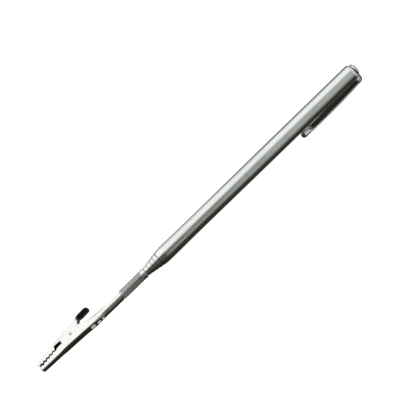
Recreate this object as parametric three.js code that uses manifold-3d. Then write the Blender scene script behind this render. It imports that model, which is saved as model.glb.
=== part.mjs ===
// Pocket reacher grabber: a telescoping pen with a spring-loaded alligator clip on its end.
//
// The tool lies on its side with its long axis along +X, the jaw tips at the low end and the pocket
// clip at the high end. It is drawn from the jaw tips: x is the distance along the axis, and each
// group turns its own pieces about that axis. The finished tool is then set down on z = 0, centred.
// Units are millimetres.

import * as THREE from "three";
import { mergeVertices } from "three/addons/utils/BufferGeometryUtils.js";
import Module from "manifold-3d";

const wasm = await Module();
wasm.setup();

// ---------------------------------------------------------------- driving dimensions

const CHANNEL_LENGTH = 39.3; // the clip, from its tips to where it closes into a round tail
const TAIL_LENGTH = 11.0;
const COLLAR_LENGTH = 14.9; // the knurled collar between the clip and the telescope
const RING_STEP = 2.1; // how far each folded tube shows beyond the next larger one
const BARREL_LENGTH = 124.25; // the handle
const TUBE_COUNT = 4; // hollow sliding tubes, not counting the rod

const BARREL_RADIUS = 4.0;
const BARREL_WALL = 0.35;
const BARREL_NOSE = 4.0; // length of the rolled-in mouth of the handle
const BARREL_SHOULDER = 1.9; // radius of the rounded closed end
const WAIST_DEPTH = 0.1; // the handle is this much slimmer behind its mouth
const WAIST_START = 18.0; // from the mouth
const WAIST_END = 34.0;
const WAIST_FADE = 70.0; // full radius again

const TUBE_WALL = 0.2;
const TUBE_GAP = 0.16; // radial gap between a tube and the one it slides in
const TUBE_NOSE = 2.6; // length of a tube's rolled-in mouth
const REAR_STEP = 8.2; // each tube ends this far in front of the next larger one
const NECK_LENGTH = 6.5; // reduced seat at a tube's rear end that holds its friction leaves
const NECK_DEPTH = 0.15;
const FLANGE_LENGTH = 0.7; // full-radius rim behind that seat
const RUNNING_GAP = 0.05; // radial clearance of a rolled lip on the tube inside it

const LEAF_SHEET = 0.12;
const LEAF_GAP = 0.04; // between a leaf and the metal on either side of it
const LEAF_SLOT = 0.5; // gap between the two half-round leaves

const ROD_WALL = 0.4;
const SPIGOT_STEP = 0.5; // radius lost at the rod's front end, held in the collar
const SPIGOT_LENGTH = 7.5;

const COLLAR_RIM = 0.38; // the knurled collar stands out this far past the rod
const COLLAR_BAND = 2.2; // plain band behind the knurl
const KNURL_COUNT = 26;
const KNURL_DEPTH = 0.2;
const COLLAR_CHAMFER = 0.45;
const TANG_SETBACK = 2.0; // the collar's tang stops this far behind the mouth of the tail

const SHEET = 0.45; // thickness of the clip's sheet steel
const TIP_WIDTH = 3.0;
const BITE_WIDTH = 3.4; // both jaws, just behind the teeth
const EAR_WIDTH = 4.2; // the fixed jaw across its pivot ears
const EAR_GAP = 0.25; // between the moving jaw and each ear of the fixed one
const TAIL_RADIUS = 2.25;
const TAIL_LIP = 0.5; // height of the tail's edges above the axis, where it cradles the tang
const TOOTH_PITCH = 2.0;
const TOOTH_COUNT = 5;
const TOOTH_HEIGHT = 0.75;
const PIVOT = { x: 21.2, y: 3.2 };
const PIN_RADIUS = 0.55;
const PIN_GAP = 0.12;
const TAB_WIDTH = 5.6; // thumb tab of the moving jaw
const TAB_LENGTH = 8.2;

const SPRING_WIRE = 0.2; // radius
const SPRING_CLEARANCE = 0.4; // between the coil and the rivet
const SPRING_SIDE = 0.15; // between the coil and the moving jaw's walls
const SPRING_TURNS = 2.33;
const SPRING_LEG = 6.3; // from the rivet to the end of either leg

const STRAP_SHEET = 0.55; // pocket clip
const STRAP_WIDTH = 5.0;
const STRAP_TIP_WIDTH = 4.2;
const STRAP_LENGTH = 38.0; // from the bend to the tip
const STRAP_ROOT_GAP = 1.25; // between barrel and arm, at the bend
const STRAP_TIP_GAP = 2.4; // and at the tip
const STRAP_BEND = 1.4; // inner radius of the bend over the barrel's shoulder
const STRAP_SPLIT = 0.3; // gap between the collar of the clip and its springing arm
const BOSS_LENGTH = 6.0; // pressed foot that touches the barrel
const BUTTON_RADIUS = 2.9;
const BUTTON_HEIGHT = 1.3;
const SHANK_RADIUS = 1.0;
const BUSH_LENGTH = 7.0;

const JAW_ROLL = -34; // degrees the clip is turned about the axis when the tool lies down
const STRAP_ROLL = 180 + 35; // degrees from +Y to the pocket clip

const FIT = 0.1; // gap where one piece is pressed into another
const TOUCH = 0.3; // gap between faces that meet end to end
const AROUND = 28; // facets round a turned piece

// ---------------------------------------------------------------- derived positions

const jawLength = CHANNEL_LENGTH + TAIL_LENGTH;
const collarFront = jawLength + TOUCH;
const collarRear = collarFront + COLLAR_LENGTH;
const lastMouth = collarRear + TOUCH; // mouth of the smallest tube
const barrelMouth = lastMouth + TUBE_COUNT * RING_STEP;
const barrelEnd = barrelMouth + BARREL_LENGTH;
const barrelBore = BARREL_RADIUS - BARREL_WALL;
const bushEnd = barrelEnd - BARREL_SHOULDER - FIT;
const bushFront = bushEnd - BUSH_LENGTH;
const strapPlane = barrelEnd + FIT; // underside of the pocket clip's collar
const buttonBase = strapPlane + STRAP_SHEET + FIT;

const tubeRadius = (i) => barrelBore - TUBE_GAP - (i - 1) * (TUBE_WALL + TUBE_GAP); // 1 is the largest
const mouthOf = (i) => barrelMouth - i * RING_STEP;
const rearOf = (i) => bushFront - TOUCH - (i - 1) * REAR_STEP;
const ROD = TUBE_COUNT + 1;
const spigotRadius = tubeRadius(ROD) - SPIGOT_STEP;
const collarRadius = tubeRadius(ROD) + COLLAR_RIM;
const linkWidth = EAR_WIDTH - 2 * (EAR_GAP + SHEET); // the moving jaw between the ears
const strapRoot = BARREL_RADIUS + STRAP_ROOT_GAP;
const strapTip = BARREL_RADIUS + STRAP_TIP_GAP;

// ---------------------------------------------------------------- helpers

const steel = (color, roughness) => new THREE.MeshStandardMaterial({ color, roughness, metalness: 1 });
const CHROME = steel(0xd7dbdc, 0.15);
const NICKEL = steel(0xc9c8c2, 0.3);
const BRASS = steel(0xb08d4a, 0.35);
const SPRING_STEEL = steel(0x8f9093, 0.35);

/** The closed surface of a geometry as a manifold-3d solid. */
function solidOf(geometry) {
  const bare = geometry.index ? geometry.toNonIndexed() : geometry.clone();
  bare.deleteAttribute("normal");
  bare.deleteAttribute("uv");
  const merged = mergeVertices(bare, 1e-4);
  const corners = merged.index.array;
  const kept = [];
  for (let i = 0; i < corners.length; i += 3) {
    const [a, b, c] = [corners[i], corners[i + 1], corners[i + 2]];
    if (a !== b && b !== c && c !== a) kept.push(a, b, c);
  }
  return new wasm.Manifold(
    new wasm.Mesh({
      numProp: 3,
      vertProperties: merged.attributes.position.array,
      triVerts: Uint32Array.from(kept),
    }),
  );
}

/** A manifold-3d solid back as a geometry. */
function geometryOf(solid) {
  const made = solid.getMesh();
  const geometry = new THREE.BufferGeometry();
  geometry.setAttribute("position", new THREE.BufferAttribute(made.vertProperties, 3));
  geometry.setIndex(new THREE.BufferAttribute(made.triVerts, 1));
  geometry.computeVertexNormals();
  return geometry;
}

/** A named mesh of a solid. */
function piece(name, solid, material) {
  const mesh = new THREE.Mesh(geometryOf(solid), material);
  mesh.name = name;
  return mesh;
}

/** A group of pieces, turned about the tool's axis. */
function rolled(degrees, ...pieces) {
  const group = new THREE.Group();
  group.add(...pieces);
  group.rotation.x = THREE.MathUtils.degToRad(degrees);
  return group;
}

/** A solid turned about the x axis from a closed outline of [x, radius] points. */
function turned(outline, around = AROUND) {
  const points = [...outline, outline[0]].map(([x, r]) => new THREE.Vector2(r, x));
  const solid = solidOf(new THREE.LatheGeometry(points, around).rotateZ(-Math.PI / 2));
  if (solid.volume() > 0) return solid;
  return solidOf(new THREE.LatheGeometry(points.reverse(), around).rotateZ(-Math.PI / 2));
}

/** A round bar along x. */
const bar = (x0, x1, radius, around = AROUND) =>
  turned([[x0, 0], [x0, radius], [x1, radius], [x1, 0]], around);

/** A round bar along z at a point of the side view. */
function pinAcross({ x, y }, radius, length, around = 16) {
  const geometry = new THREE.CylinderGeometry(radius, radius, length, around);
  return solidOf(geometry.rotateX(Math.PI / 2).translate(x, y, 0));
}

/** A block from its lowest to its highest corner. */
function block(low, high) {
  const size = high.map((value, i) => value - low[i]);
  const centre = high.map((value, i) => (value + low[i]) / 2);
  return solidOf(new THREE.BoxGeometry(...size).translate(...centre));
}

/** A side view, in x and y, given a thickness across z. */
function sideView(points, width) {
  const shape = points instanceof THREE.Shape ? points : new THREE.Shape(vectors(points));
  const settings = { depth: width, bevelEnabled: false, curveSegments: 10 };
  return solidOf(new THREE.ExtrudeGeometry(shape, settings).translate(0, 0, -width / 2));
}

/** A plan symmetric about the axis, from [x, half width] points, given a height along y. */
function planView(points, low, high) {
  const mirrored = [...points].reverse().map(([x, z]) => [x, -z]);
  const shape = new THREE.Shape(vectors([...points, ...mirrored]));
  const flat = new THREE.ExtrudeGeometry(shape, { depth: high - low, bevelEnabled: false });
  return solidOf(flat.rotateX(-Math.PI / 2).translate(0, low, 0));
}

const vectors = (points) => points.map(([x, y]) => new THREE.Vector2(x, y));

/** Points of a circular arc from one angle to another, in degrees. */
function arc([x, y], radius, from, to, steps) {
  return Array.from({ length: steps + 1 }, (_, i) => {
    const angle = THREE.MathUtils.degToRad(from + ((to - from) * i) / steps);
    return [x + radius * Math.cos(angle), y + radius * Math.sin(angle)];
  });
}

/** Height of a line through [x, y] points at x. */
function heightAt(line, x) {
  const i = Math.max(1, line.findIndex((point) => point[0] >= x));
  const [[x0, y0], [x1, y1]] = [line[i - 1], line[i]];
  return y0 + ((y1 - y0) * (x - x0)) / (x1 - x0);
}

// ---------------------------------------------------------------- handle

/** The handle: a drawn tube, rolled in at its mouth and round a shoulder at its closed end. */
function handleBarrel() {
  const lip = tubeRadius(1) + RUNNING_GAP;
  const rise = BARREL_RADIUS - lip;
  const swell = [[0, 0], [0, 0.2], [0.16, 0.42], [0.4, 0.68], [0.65, 0.88], [1, 0.97], [1.5, 1]];
  const mouth = [
    ...swell.map(([t, share]) => [barrelMouth + t * BARREL_NOSE, lip + share * rise]),
    [barrelMouth + WAIST_START, BARREL_RADIUS - WAIST_DEPTH],
    [barrelMouth + WAIST_END, BARREL_RADIUS - WAIST_DEPTH],
    [barrelMouth + WAIST_FADE, BARREL_RADIUS],
  ];
  const shoulderX = barrelEnd - BARREL_SHOULDER;
  const shoulderR = BARREL_RADIUS - BARREL_SHOULDER;
  const outer = arc([shoulderX, shoulderR], BARREL_SHOULDER, 90, 0, 6);
  const inner = arc([shoulderX, shoulderR], BARREL_SHOULDER - BARREL_WALL, 0, 90, 4);
  const bore = [
    [barrelMouth + BARREL_NOSE, barrelBore],
    [barrelMouth + 0.5 * BARREL_NOSE, lip],
  ];
  return piece("handle_barrel", turned([...mouth, ...outer, ...inner, ...bore], 36), CHROME);
}

/** The bush pressed into the closed end, which takes the button's shank. */
function endBush() {
  const outline = [
    [bushFront, SHANK_RADIUS + FIT / 2],
    [bushFront, barrelBore - FIT],
    [bushEnd, barrelBore - FIT],
    [bushEnd, SHANK_RADIUS + FIT / 2],
  ];
  return piece("end_bush", turned(outline), BRASS);
}

/** The domed button that closes the end and holds the pocket clip down. */
function endButton() {
  const rise = BUTTON_HEIGHT;
  const radius = (BUTTON_RADIUS ** 2 + rise ** 2) / (2 * rise);
  const half = THREE.MathUtils.radToDeg(Math.asin(BUTTON_RADIUS / radius));
  const dome = arc([buttonBase + rise - radius, 0], radius, half, 0, 5);
  const shankTip = bushFront + 1;
  const outline = [[shankTip, 0], [shankTip, SHANK_RADIUS], [buttonBase, SHANK_RADIUS], ...dome];
  return piece("end_button", turned(outline), CHROME);
}

// ---------------------------------------------------------------- pocket clip, drawn with its arm towards +Y

const strapBend = [strapPlane - STRAP_BEND, strapRoot - STRAP_BEND]; // centre of the bend
const armStart = strapBend[0] - STRAP_SPLIT;
const strapTipX = strapPlane - STRAP_LENGTH;

/** The flat ring under the button and the bend over the end of the barrel, one with the arm. */
function pocketClipCollar() {
  const top = strapPlane + STRAP_SHEET;
  const outline = [
    [strapPlane, 0],
    [top, 0],
    ...arc(strapBend, STRAP_BEND + STRAP_SHEET, 0, 90, 6),
    ...arc(strapBend, STRAP_BEND, 90, 0, 4),
  ];
  const ring = bar(strapPlane, top, BUTTON_RADIUS + 0.2);
  const hole = bar(strapPlane - 1, top + 1, SHANK_RADIUS + FIT);
  return piece("pocket_clip_collar", sideView(outline, STRAP_WIDTH).add(ring).subtract(hole), NICKEL);
}

/** The springing arm, with the pressed foot that bears on the barrel. */
function pocketClipArm() {
  const bow = [[0, 0], [0.16, 0.42], [0.36, 0.74], [0.6, 1], [1, 1]].map(([t, share]) => [
    armStart - t * (armStart - strapTipX),
    strapRoot + share * (strapTip - strapRoot),
  ]);
  const bossStart = strapTipX + BOSS_LENGTH + 1;
  const bossPeak = strapTipX + 2.4;
  const touching = BARREL_RADIUS + FIT;
  const outline = [
    ...bow.map(([x, y]) => [x, y + STRAP_SHEET]),
    [strapTipX, strapTip],
    [strapTipX + 1, strapTip],
    [bossPeak - 0.5, touching],
    [bossPeak + 0.5, touching],
    [bossStart, strapTip],
    ...bow.slice(0, -1).reverse(),
  ];
  const half = STRAP_WIDTH / 2;
  const tipHalf = STRAP_TIP_WIDTH / 2;
  const corner = 1.4;
  const plan = [
    [armStart, half],
    [armStart - 12, half],
    [strapTipX + corner, tipHalf],
    [strapTipX + 0.4, tipHalf - 0.6],
    [strapTipX, tipHalf - corner],
  ].reverse();
  const shape = sideView(outline, STRAP_WIDTH).intersect(planView(plan, 0, strapTip + 2));
  const sides = [1, -1].map((side) => {
    const edge = side * (tipHalf - 1);
    const [low, high] = edge > 0 ? [edge, half + 1] : [-half - 1, edge];
    return block([strapTipX - 1, 0, low], [bossStart, strapTip - 0.35, high]);
  });
  return piece("pocket_clip_arm", sides.reduce((rest, cut) => rest.subtract(cut), shape), NICKEL);
}

// ---------------------------------------------------------------- telescope

/** Outline of the rear end of a sliding tube: its reduced seat and the rim behind it. */
function rearSeat(i) {
  const radius = tubeRadius(i);
  const rear = rearOf(i);
  const seatEnd = rear - FLANGE_LENGTH;
  const seatStart = seatEnd - NECK_LENGTH;
  return [
    [seatStart, radius],
    [seatStart + 0.1, radius - NECK_DEPTH],
    [seatEnd - 0.1, radius - NECK_DEPTH],
    [seatEnd, radius - 0.02],
    [rear, radius - 0.02],
  ];
}

/** One hollow tube: rolled in at its mouth over the next one, and necked down at its rear. */
function telescopeTube(i) {
  const radius = tubeRadius(i);
  const mouth = mouthOf(i);
  const lip = tubeRadius(i + 1) + RUNNING_GAP;
  const bore = radius - TUBE_WALL;
  const neckBore = bore - NECK_DEPTH;
  const seatStart = rearOf(i) - FLANGE_LENGTH - NECK_LENGTH;
  const outline = [
    [mouth, lip],
    [mouth, lip + 0.05],
    [mouth + 0.25, lip + 0.11],
    [mouth + 0.45 * TUBE_NOSE, radius - 0.14],
    [mouth + 0.9 * TUBE_NOSE, radius - 0.04],
    [mouth + 1.2 * TUBE_NOSE, radius],
    ...rearSeat(i),
    [rearOf(i), neckBore],
    [seatStart - 0.3, neckBore],
    [seatStart - 0.7, bore],
    [mouth + TUBE_NOSE, bore],
    [mouth + 0.6 * TUBE_NOSE, lip],
  ];
  return piece(`telescope_tube_${i}`, turned(outline), CHROME);
}

/** The innermost section, whose front end is held in the collar. */
function telescopeRod() {
  const radius = tubeRadius(ROD);
  const front = collarRear + TOUCH / 2;
  const bore = radius - ROD_WALL;
  const outline = [
    [front - SPIGOT_LENGTH, 0],
    [front - SPIGOT_LENGTH, spigotRadius],
    [front, spigotRadius],
    [front, radius],
    ...rearSeat(ROD),
    [rearOf(ROD), bore],
    [front + 3, bore],
    [front + 2, 0],
  ];
  return piece("telescope_rod", turned(outline), CHROME);
}

/** The two bowed half-round leaves in a section's seat, which rub on the bore outside them. */
function frictionLeaves(i) {
  const radius = tubeRadius(i);
  const seatEnd = rearOf(i) - FLANGE_LENGTH - 0.3;
  const seatStart = seatEnd - NECK_LENGTH + 0.6;
  const low = radius - NECK_DEPTH + LEAF_GAP;
  const high = radius + TUBE_GAP - LEAF_GAP - LEAF_SHEET;
  const middle = [0.3, 0.7].map((t) => seatStart + t * (seatEnd - seatStart));
  const under = [[seatStart, low], [middle[0], high], [middle[1], high], [seatEnd, low]];
  const over = under.map(([x, r]) => [x, r + LEAF_SHEET]).reverse();
  const ring = turned([...under, ...over]);
  const far = radius + 1;
  return ["a", "b"].map((letter, n) => {
    const [from, to] = n ? [-far, -LEAF_SLOT / 2] : [LEAF_SLOT / 2, far];
    const half = ring.intersect(block([seatStart - 1, from, -far], [seatEnd + 1, to, far]));
    return piece(`friction_leaf_${i}${letter}`, half, BRASS);
  });
}

// ---------------------------------------------------------------- head, drawn with its thumb tab towards +Y

/** The turned collar: a tang for the clip, a straight knurl, and a socket for the rod. */
function knurledCollar() {
  const knurlEnd = collarRear - COLLAR_BAND;
  const root = collarRadius - KNURL_DEPTH;
  const tangStart = CHANNEL_LENGTH + TANG_SETBACK;
  const tangRadius = TAIL_RADIUS - SHEET - FIT / 2;
  const body = turned([
    [tangStart, 0],
    [tangStart, tangRadius],
    [collarFront, tangRadius],
    [collarFront, TAIL_RADIUS],
    [collarFront + COLLAR_CHAMFER, root],
    [knurlEnd, root],
    [knurlEnd, collarRadius],
    [collarRear, collarRadius],
    [collarRear, 0],
  ]);
  const section = Array.from({ length: 4 * KNURL_COUNT }, (_, n) => {
    const radius = n % 4 < 2 ? collarRadius : root - 0.02;
    const turn = (Math.floor(n / 2) * 2 + (n % 2 ? 0.72 : 0.28)) / (4 * KNURL_COUNT);
    return [radius * Math.cos(2 * Math.PI * turn), radius * Math.sin(2 * Math.PI * turn)];
  });
  const ribs = new THREE.ExtrudeGeometry(new THREE.Shape(vectors(section)), {
    depth: knurlEnd - collarFront - COLLAR_CHAMFER,
    bevelEnabled: false,
  });
  ribs.rotateY(Math.PI / 2).translate(collarFront + COLLAR_CHAMFER, 0, 0);
  const socket = bar(collarRear - SPIGOT_LENGTH - 0.6, collarRear + 1, spigotRadius + FIT / 2);
  return piece("knurled_collar", body.add(solidOf(ribs)).subtract(socket), CHROME);
}

// Lines of the clip's side view, as [x, y] from the tip.
const earEnd = 26;
const wallEnd = 26.6;
const tabEnd = wallEnd + TAB_LENGTH;
const behindEars = (share) => earEnd + share * (CHANNEL_LENGTH - earEnd);
const floorLine = [
  [0, -0.3],
  [6.4, -0.47],
  [16.6, -0.7],
  [earEnd, -1.15],
  [CHANNEL_LENGTH, -TAIL_RADIUS],
  [jawLength + 5, -TAIL_RADIUS],
];
const roofLine = [[0, 4.4], [2.8, 5.1], [6.4, 5.75], [12, 6.5], [17.5, 7.2], [wallEnd, 8.2], [tabEnd, 8.6]];
const biteAt = (x) => 2.0 + 0.09 * x; // middle of the gap between the teeth
const gapAt = (x) => 1.4 - 0.05 * x;
const TEETH_START = 0.7;
const teethEnd = TEETH_START + TOOTH_COUNT * TOOTH_PITCH;
const reliefLow = 2.4;
const reliefHigh = 5.0;
const reliefRear = 15.9;

/** A row of teeth, as points; side is 1 for the moving jaw and -1 for the fixed one. */
function teeth(side) {
  return Array.from({ length: 2 * TOOTH_COUNT + 1 }, (_, n) => {
    const x = TEETH_START + (n * TOOTH_PITCH) / 2;
    const wave = n % 2 ? TOOTH_HEIGHT / 2 : -TOOTH_HEIGHT / 2;
    return [x, biteAt(x) + wave + (side * gapAt(x)) / 2];
  });
}

/** Half widths of a jaw's plan from the tip back, less an inset. */
const jawPlan = (points, inset) => points.map(([x, width]) => [x, width / 2 - inset]);

const tipPlan = (x) => [[x, TIP_WIDTH - 1.2], [x + 0.6, TIP_WIDTH]];
const fixedPlan = (front) => [
  ...tipPlan(front),
  [12, BITE_WIDTH],
  [15, EAR_WIDTH],
  [earEnd, EAR_WIDTH],
  [behindEars(0.75), 2 * TAIL_RADIUS],
  [CHANNEL_LENGTH, 2 * TAIL_RADIUS],
];
const movingPlan = (front, end) => [...tipPlan(front), [11, BITE_WIDTH - 0.1], [13.8, linkWidth], [end, linkWidth]];

/** The fixed jaw: a folded channel with pivot ears, drilled behind them and rolled into a tail. */
function fixedJaw() {
  const reliefRadius = (reliefHigh - reliefLow) / 2;
  const earFront = arc([reliefRear - reliefRadius, reliefLow + reliefRadius], reliefRadius, -90, 50, 5);
  const wallTop = [
    [0.2, 1.3],
    ...teeth(-1),
    [teethEnd + 0.4, reliefLow],
    ...earFront,
    [16.6, 5.0],
    [24.2, 5.0],
    [earEnd, 4.3],
    [behindEars(0.3), 2.65],
    [behindEars(0.6), 1.8],
    [CHANNEL_LENGTH, 1.5],
  ];
  const floor = floorLine.filter(([x]) => x > 0.2 && x <= CHANNEL_LENGTH);
  const outline = [...wallTop, ...floor.reverse(), [0.9, -0.3], [0.2, 0.25]];
  const inside = [
    [-5, 20],
    [-5, heightAt(floorLine, 0) + SHEET],
    ...floorLine.slice(1).map(([x, y]) => [x, y + SHEET]),
    [jawLength + 5, 20],
  ];
  const wide = EAR_WIDTH + 4;
  const shell = sideView(outline, wide).intersect(planView(jawPlan(fixedPlan(0.2), 0), -10, 20));
  const hollowPlan = jawPlan(fixedPlan(0.2 + SHEET), SHEET);
  hollowPlan.push([CHANNEL_LENGTH + 1, TAIL_RADIUS - SHEET]);
  const hollow = sideView(inside, wide).intersect(planView(hollowPlan, -10, 20));
  const tail = turned([
    [CHANNEL_LENGTH - 0.4, TAIL_RADIUS - SHEET],
    [CHANNEL_LENGTH - 0.4, TAIL_RADIUS],
    [jawLength, TAIL_RADIUS],
    [jawLength, TAIL_RADIUS - SHEET],
  ], 24);
  const cradle = sideView([
    [CHANNEL_LENGTH - 0.5, 1.52],
    [CHANNEL_LENGTH + 1.3, 1.45],
    [CHANNEL_LENGTH + 2.7, TAIL_LIP + 0.1],
    [jawLength + 1, TAIL_LIP],
    [jawLength + 1, TAIL_RADIUS + 1],
    [CHANNEL_LENGTH - 0.5, TAIL_RADIUS + 1],
  ], wide);
  const bore = bar(CHANNEL_LENGTH - 1, jawLength + 1, TAIL_RADIUS - SHEET, 24);
  const drilled = [[0.4, 1.35], [0.65, 1.0], [0.85, 0.75]].map(([share, radius]) =>
    solidOf(new THREE.CylinderGeometry(radius, radius, 4, 16).translate(behindEars(share), -2, 0)),
  );
  const pinHole = pinAcross(PIVOT, PIN_RADIUS + FIT / 2, wide);
  const cuts = [cradle, bore, pinHole, ...drilled];
  const rounding = turned([
    [-1, 0],
    [-1, 9],
    [earEnd, 9],
    [behindEars(0.53), 3.2],
    [CHANNEL_LENGTH, TAIL_RADIUS],
    [CHANNEL_LENGTH, 0],
  ], 24);
  const channel = shell.intersect(rounding).subtract(hollow).add(tail);
  return piece("fixed_jaw", cuts.reduce((rest, cut) => rest.subtract(cut), channel), NICKEL);
}

/** The moving jaw: an upturned channel between the ears, ending in a round thumb tab. */
function movingJaw() {
  const under = roofLine.map(([x, y]) => [x, y - SHEET]);
  const wallLow = [
    [0.2, 3.5],
    ...teeth(1),
    [teethEnd + 0.9, reliefHigh],
    [17.2, reliefHigh],
    [17.8, 2.2],
    [24.6, 2.0],
    [wallEnd, 5.4],
    [wallEnd + 1, heightAt(under, wallEnd + 1)],
    [tabEnd, heightAt(under, tabEnd)],
  ];
  const outline = [...wallLow, ...[...roofLine.slice(1)].reverse(), [0.9, 4.7], [0.2, 4.3]];
  const inside = [[-5, -20], [tabEnd + 5, -20], ...[...under].reverse(), [-5, under[0][1]]];
  const tabCentre = tabEnd - TAB_WIDTH / 2;
  const tabPlan = [
    [wallEnd + 0.6, linkWidth / 2],
    [wallEnd + 2.4, TAB_WIDTH / 2],
    ...arc([tabCentre, 0], TAB_WIDTH / 2, 90, 10, 8),
  ];
  const wide = TAB_WIDTH + 2;
  const plan = [...jawPlan(movingPlan(0.2, wallEnd), 0), ...tabPlan];
  const shell = sideView(outline, wide).intersect(planView(plan, -10, 20));
  const hollowPlan = jawPlan(movingPlan(0.2 + SHEET, wallEnd + 20), SHEET);
  const hollow = sideView(inside, wide).intersect(planView(hollowPlan, -10, 20));
  const pinHole = pinAcross(PIVOT, PIN_RADIUS + PIN_GAP, wide);
  return piece("moving_jaw", shell.subtract(hollow).subtract(pinHole), NICKEL);
}

/** The rivet the moving jaw turns on. */
const jawPin = () => piece("jaw_pivot_pin", pinAcross(PIVOT, PIN_RADIUS, EAR_WIDTH + 0.4), SPRING_STEEL);

/** The coil spring round the rivet; its legs push the floor and the roof of the clip apart. */
function jawSpring() {
  const { x, y } = PIVOT;
  const radius = PIN_RADIUS + SPRING_CLEARANCE + SPRING_WIRE;
  const half = linkWidth / 2 - SHEET - SPRING_SIDE - SPRING_WIRE;
  const clear = SHEET + SPRING_WIRE + SPRING_SIDE;
  const legEnd = x + SPRING_LEG;
  const lowLeg = new THREE.Vector3(legEnd, heightAt(floorLine, legEnd) + clear, -half);
  const highLeg = new THREE.Vector3(legEnd, heightAt(roofLine, legEnd) - clear, half);
  const steps = Math.round(SPRING_TURNS * 10);
  const startAngle = THREE.MathUtils.degToRad(245);
  const coil = Array.from({ length: steps + 1 }, (_, n) => {
    const angle = startAngle - (n / steps) * SPRING_TURNS * 2 * Math.PI;
    const along = -half + (2 * half * n) / steps;
    return new THREE.Vector3(x + radius * Math.cos(angle), y + radius * Math.sin(angle), along);
  });
  const path = new THREE.CatmullRomCurve3([lowLeg, ...coil, highLeg], false, "centripetal");
  const wire = new THREE.Shape(vectors(arc([0, 0], SPRING_WIRE, 0, 300, 5)));
  const settings = { steps: steps + 14, extrudePath: path, bevelEnabled: false };
  return piece("jaw_spring", solidOf(new THREE.ExtrudeGeometry(wire, settings)), SPRING_STEEL);
}

// ---------------------------------------------------------------- assembly

const tubes = Array.from({ length: TUBE_COUNT }, (_, n) => n + 1);
const tool = new THREE.Group();
tool.add(
  handleBarrel(),
  endBush(),
  endButton(),
  rolled(STRAP_ROLL, pocketClipCollar(), pocketClipArm()),
  ...tubes.map(telescopeTube),
  telescopeRod(),
  ...[...tubes, ROD].flatMap(frictionLeaves),
  rolled(JAW_ROLL, knurledCollar(), fixedJaw(), movingJaw(), jawPin(), jawSpring()),
);

// Set the tool down: its lowest point on z = 0, and the middle of its box over the origin.
const box = new THREE.Box3().setFromObject(tool, true);
const middle = box.getCenter(new THREE.Vector3());
tool.position.set(-middle.x, -middle.y, -box.min.z);

const part = new THREE.Group();
part.add(tool);

export default part;
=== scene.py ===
"""Looks for a pocket reacher grabber: a telescoping chromed pen with a spring clip on its end.

The tool is drawn from its jaw tips, in millimetres: x runs along the axis, and y and z across
it. Each sub-assembly is a class that holds its drawn sizes, makes its surfaces as whole numpy
arrays, and dresses them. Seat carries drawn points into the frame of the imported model.
"""

from __future__ import annotations

import logging
import math
from dataclasses import dataclass, field
from enum import Enum

import bmesh
import bpy
import numpy as np
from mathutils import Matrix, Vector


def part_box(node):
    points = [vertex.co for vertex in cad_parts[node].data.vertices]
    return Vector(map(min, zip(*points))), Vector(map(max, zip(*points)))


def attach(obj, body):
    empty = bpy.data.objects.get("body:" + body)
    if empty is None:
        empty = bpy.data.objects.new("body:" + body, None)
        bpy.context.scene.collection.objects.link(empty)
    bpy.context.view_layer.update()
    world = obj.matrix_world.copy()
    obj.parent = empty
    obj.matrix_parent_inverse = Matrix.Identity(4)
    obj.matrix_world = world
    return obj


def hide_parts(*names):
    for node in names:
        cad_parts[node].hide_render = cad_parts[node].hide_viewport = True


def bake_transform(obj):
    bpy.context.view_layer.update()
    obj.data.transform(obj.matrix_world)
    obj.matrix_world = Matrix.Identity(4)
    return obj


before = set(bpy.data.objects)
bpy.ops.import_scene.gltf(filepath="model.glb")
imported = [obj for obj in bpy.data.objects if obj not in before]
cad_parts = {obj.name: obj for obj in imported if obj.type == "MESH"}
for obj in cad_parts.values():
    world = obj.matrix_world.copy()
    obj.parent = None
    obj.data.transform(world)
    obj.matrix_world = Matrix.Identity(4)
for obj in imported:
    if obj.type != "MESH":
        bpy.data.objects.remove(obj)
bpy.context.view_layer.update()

log = logging.getLogger("reacher")

MM = 0.001
AROUND = 96
# Point attribute of painted shade, 0 to 1: how far a surface is darkened to stand in for shade in folds,
# grooves, lips and hollows.
SHADE = "painted_shade"
Array = np.ndarray
Colour = tuple[float, float, float]
Point = tuple[float, float, float]
Line = list[tuple[float, float]]


class Roll(Enum):
    """How far each group is turned about the tool's axis, in degrees."""

    STRAIGHT = 0.0
    HEAD = -34.0
    STRAP = 215.0


# ---------------------------------------------------------------- where the tool lies


@dataclass(frozen=True)
class Seat:
    """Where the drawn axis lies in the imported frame, in metres."""

    tip_x: float
    axis_y: float
    axis_z: float

    @classmethod
    def of_frame(cls, tip_gap: float = 0.2) -> Seat:
        """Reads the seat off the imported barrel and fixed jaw.

        Args:
            tip_gap: how far behind the drawn origin the jaw's sheet starts, in mm.

        Returns:
            The seat that puts drawn sizes where the CAD has them.
        """
        low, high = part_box("handle_barrel")
        return cls(
            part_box("fixed_jaw")[0].x - tip_gap * MM,
            (low.y + high.y) / 2,
            (low.z + high.z) / 2,
        )

    def place(self, drawn: Array, roll: Roll) -> Array:
        """Turns drawn points about the axis by the roll, scales them to metres and shifts them.

        Args:
            drawn: points in mm, with x, y, z last.
            roll: the turn of the group they belong to.

        Returns:
            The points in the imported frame, in metres.
        """
        turn = math.radians(roll.value)
        x, y, z = np.moveaxis(np.asarray(drawn, float), -1, 0)
        across = y * math.cos(turn) - z * math.sin(turn)
        up = y * math.sin(turn) + z * math.cos(turn)
        return np.stack(
            [
                self.tip_x + x * MM,
                self.axis_y + across * MM,
                self.axis_z + up * MM,
            ],
            -1,
        )

    def point(self, drawn: Point, roll: Roll) -> Point:
        """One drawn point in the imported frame."""
        return tuple(float(v) for v in self.place(np.array(drawn), roll))


# ---------------------------------------------------------------- lines and outlines


def unit(vectors: Array) -> Array:
    """Vectors at length one; a vector of no length stays as it is."""
    length = np.linalg.norm(vectors, axis=-1, keepdims=True)
    return vectors / np.where(length > 1e-12, length, 1.0)


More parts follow.
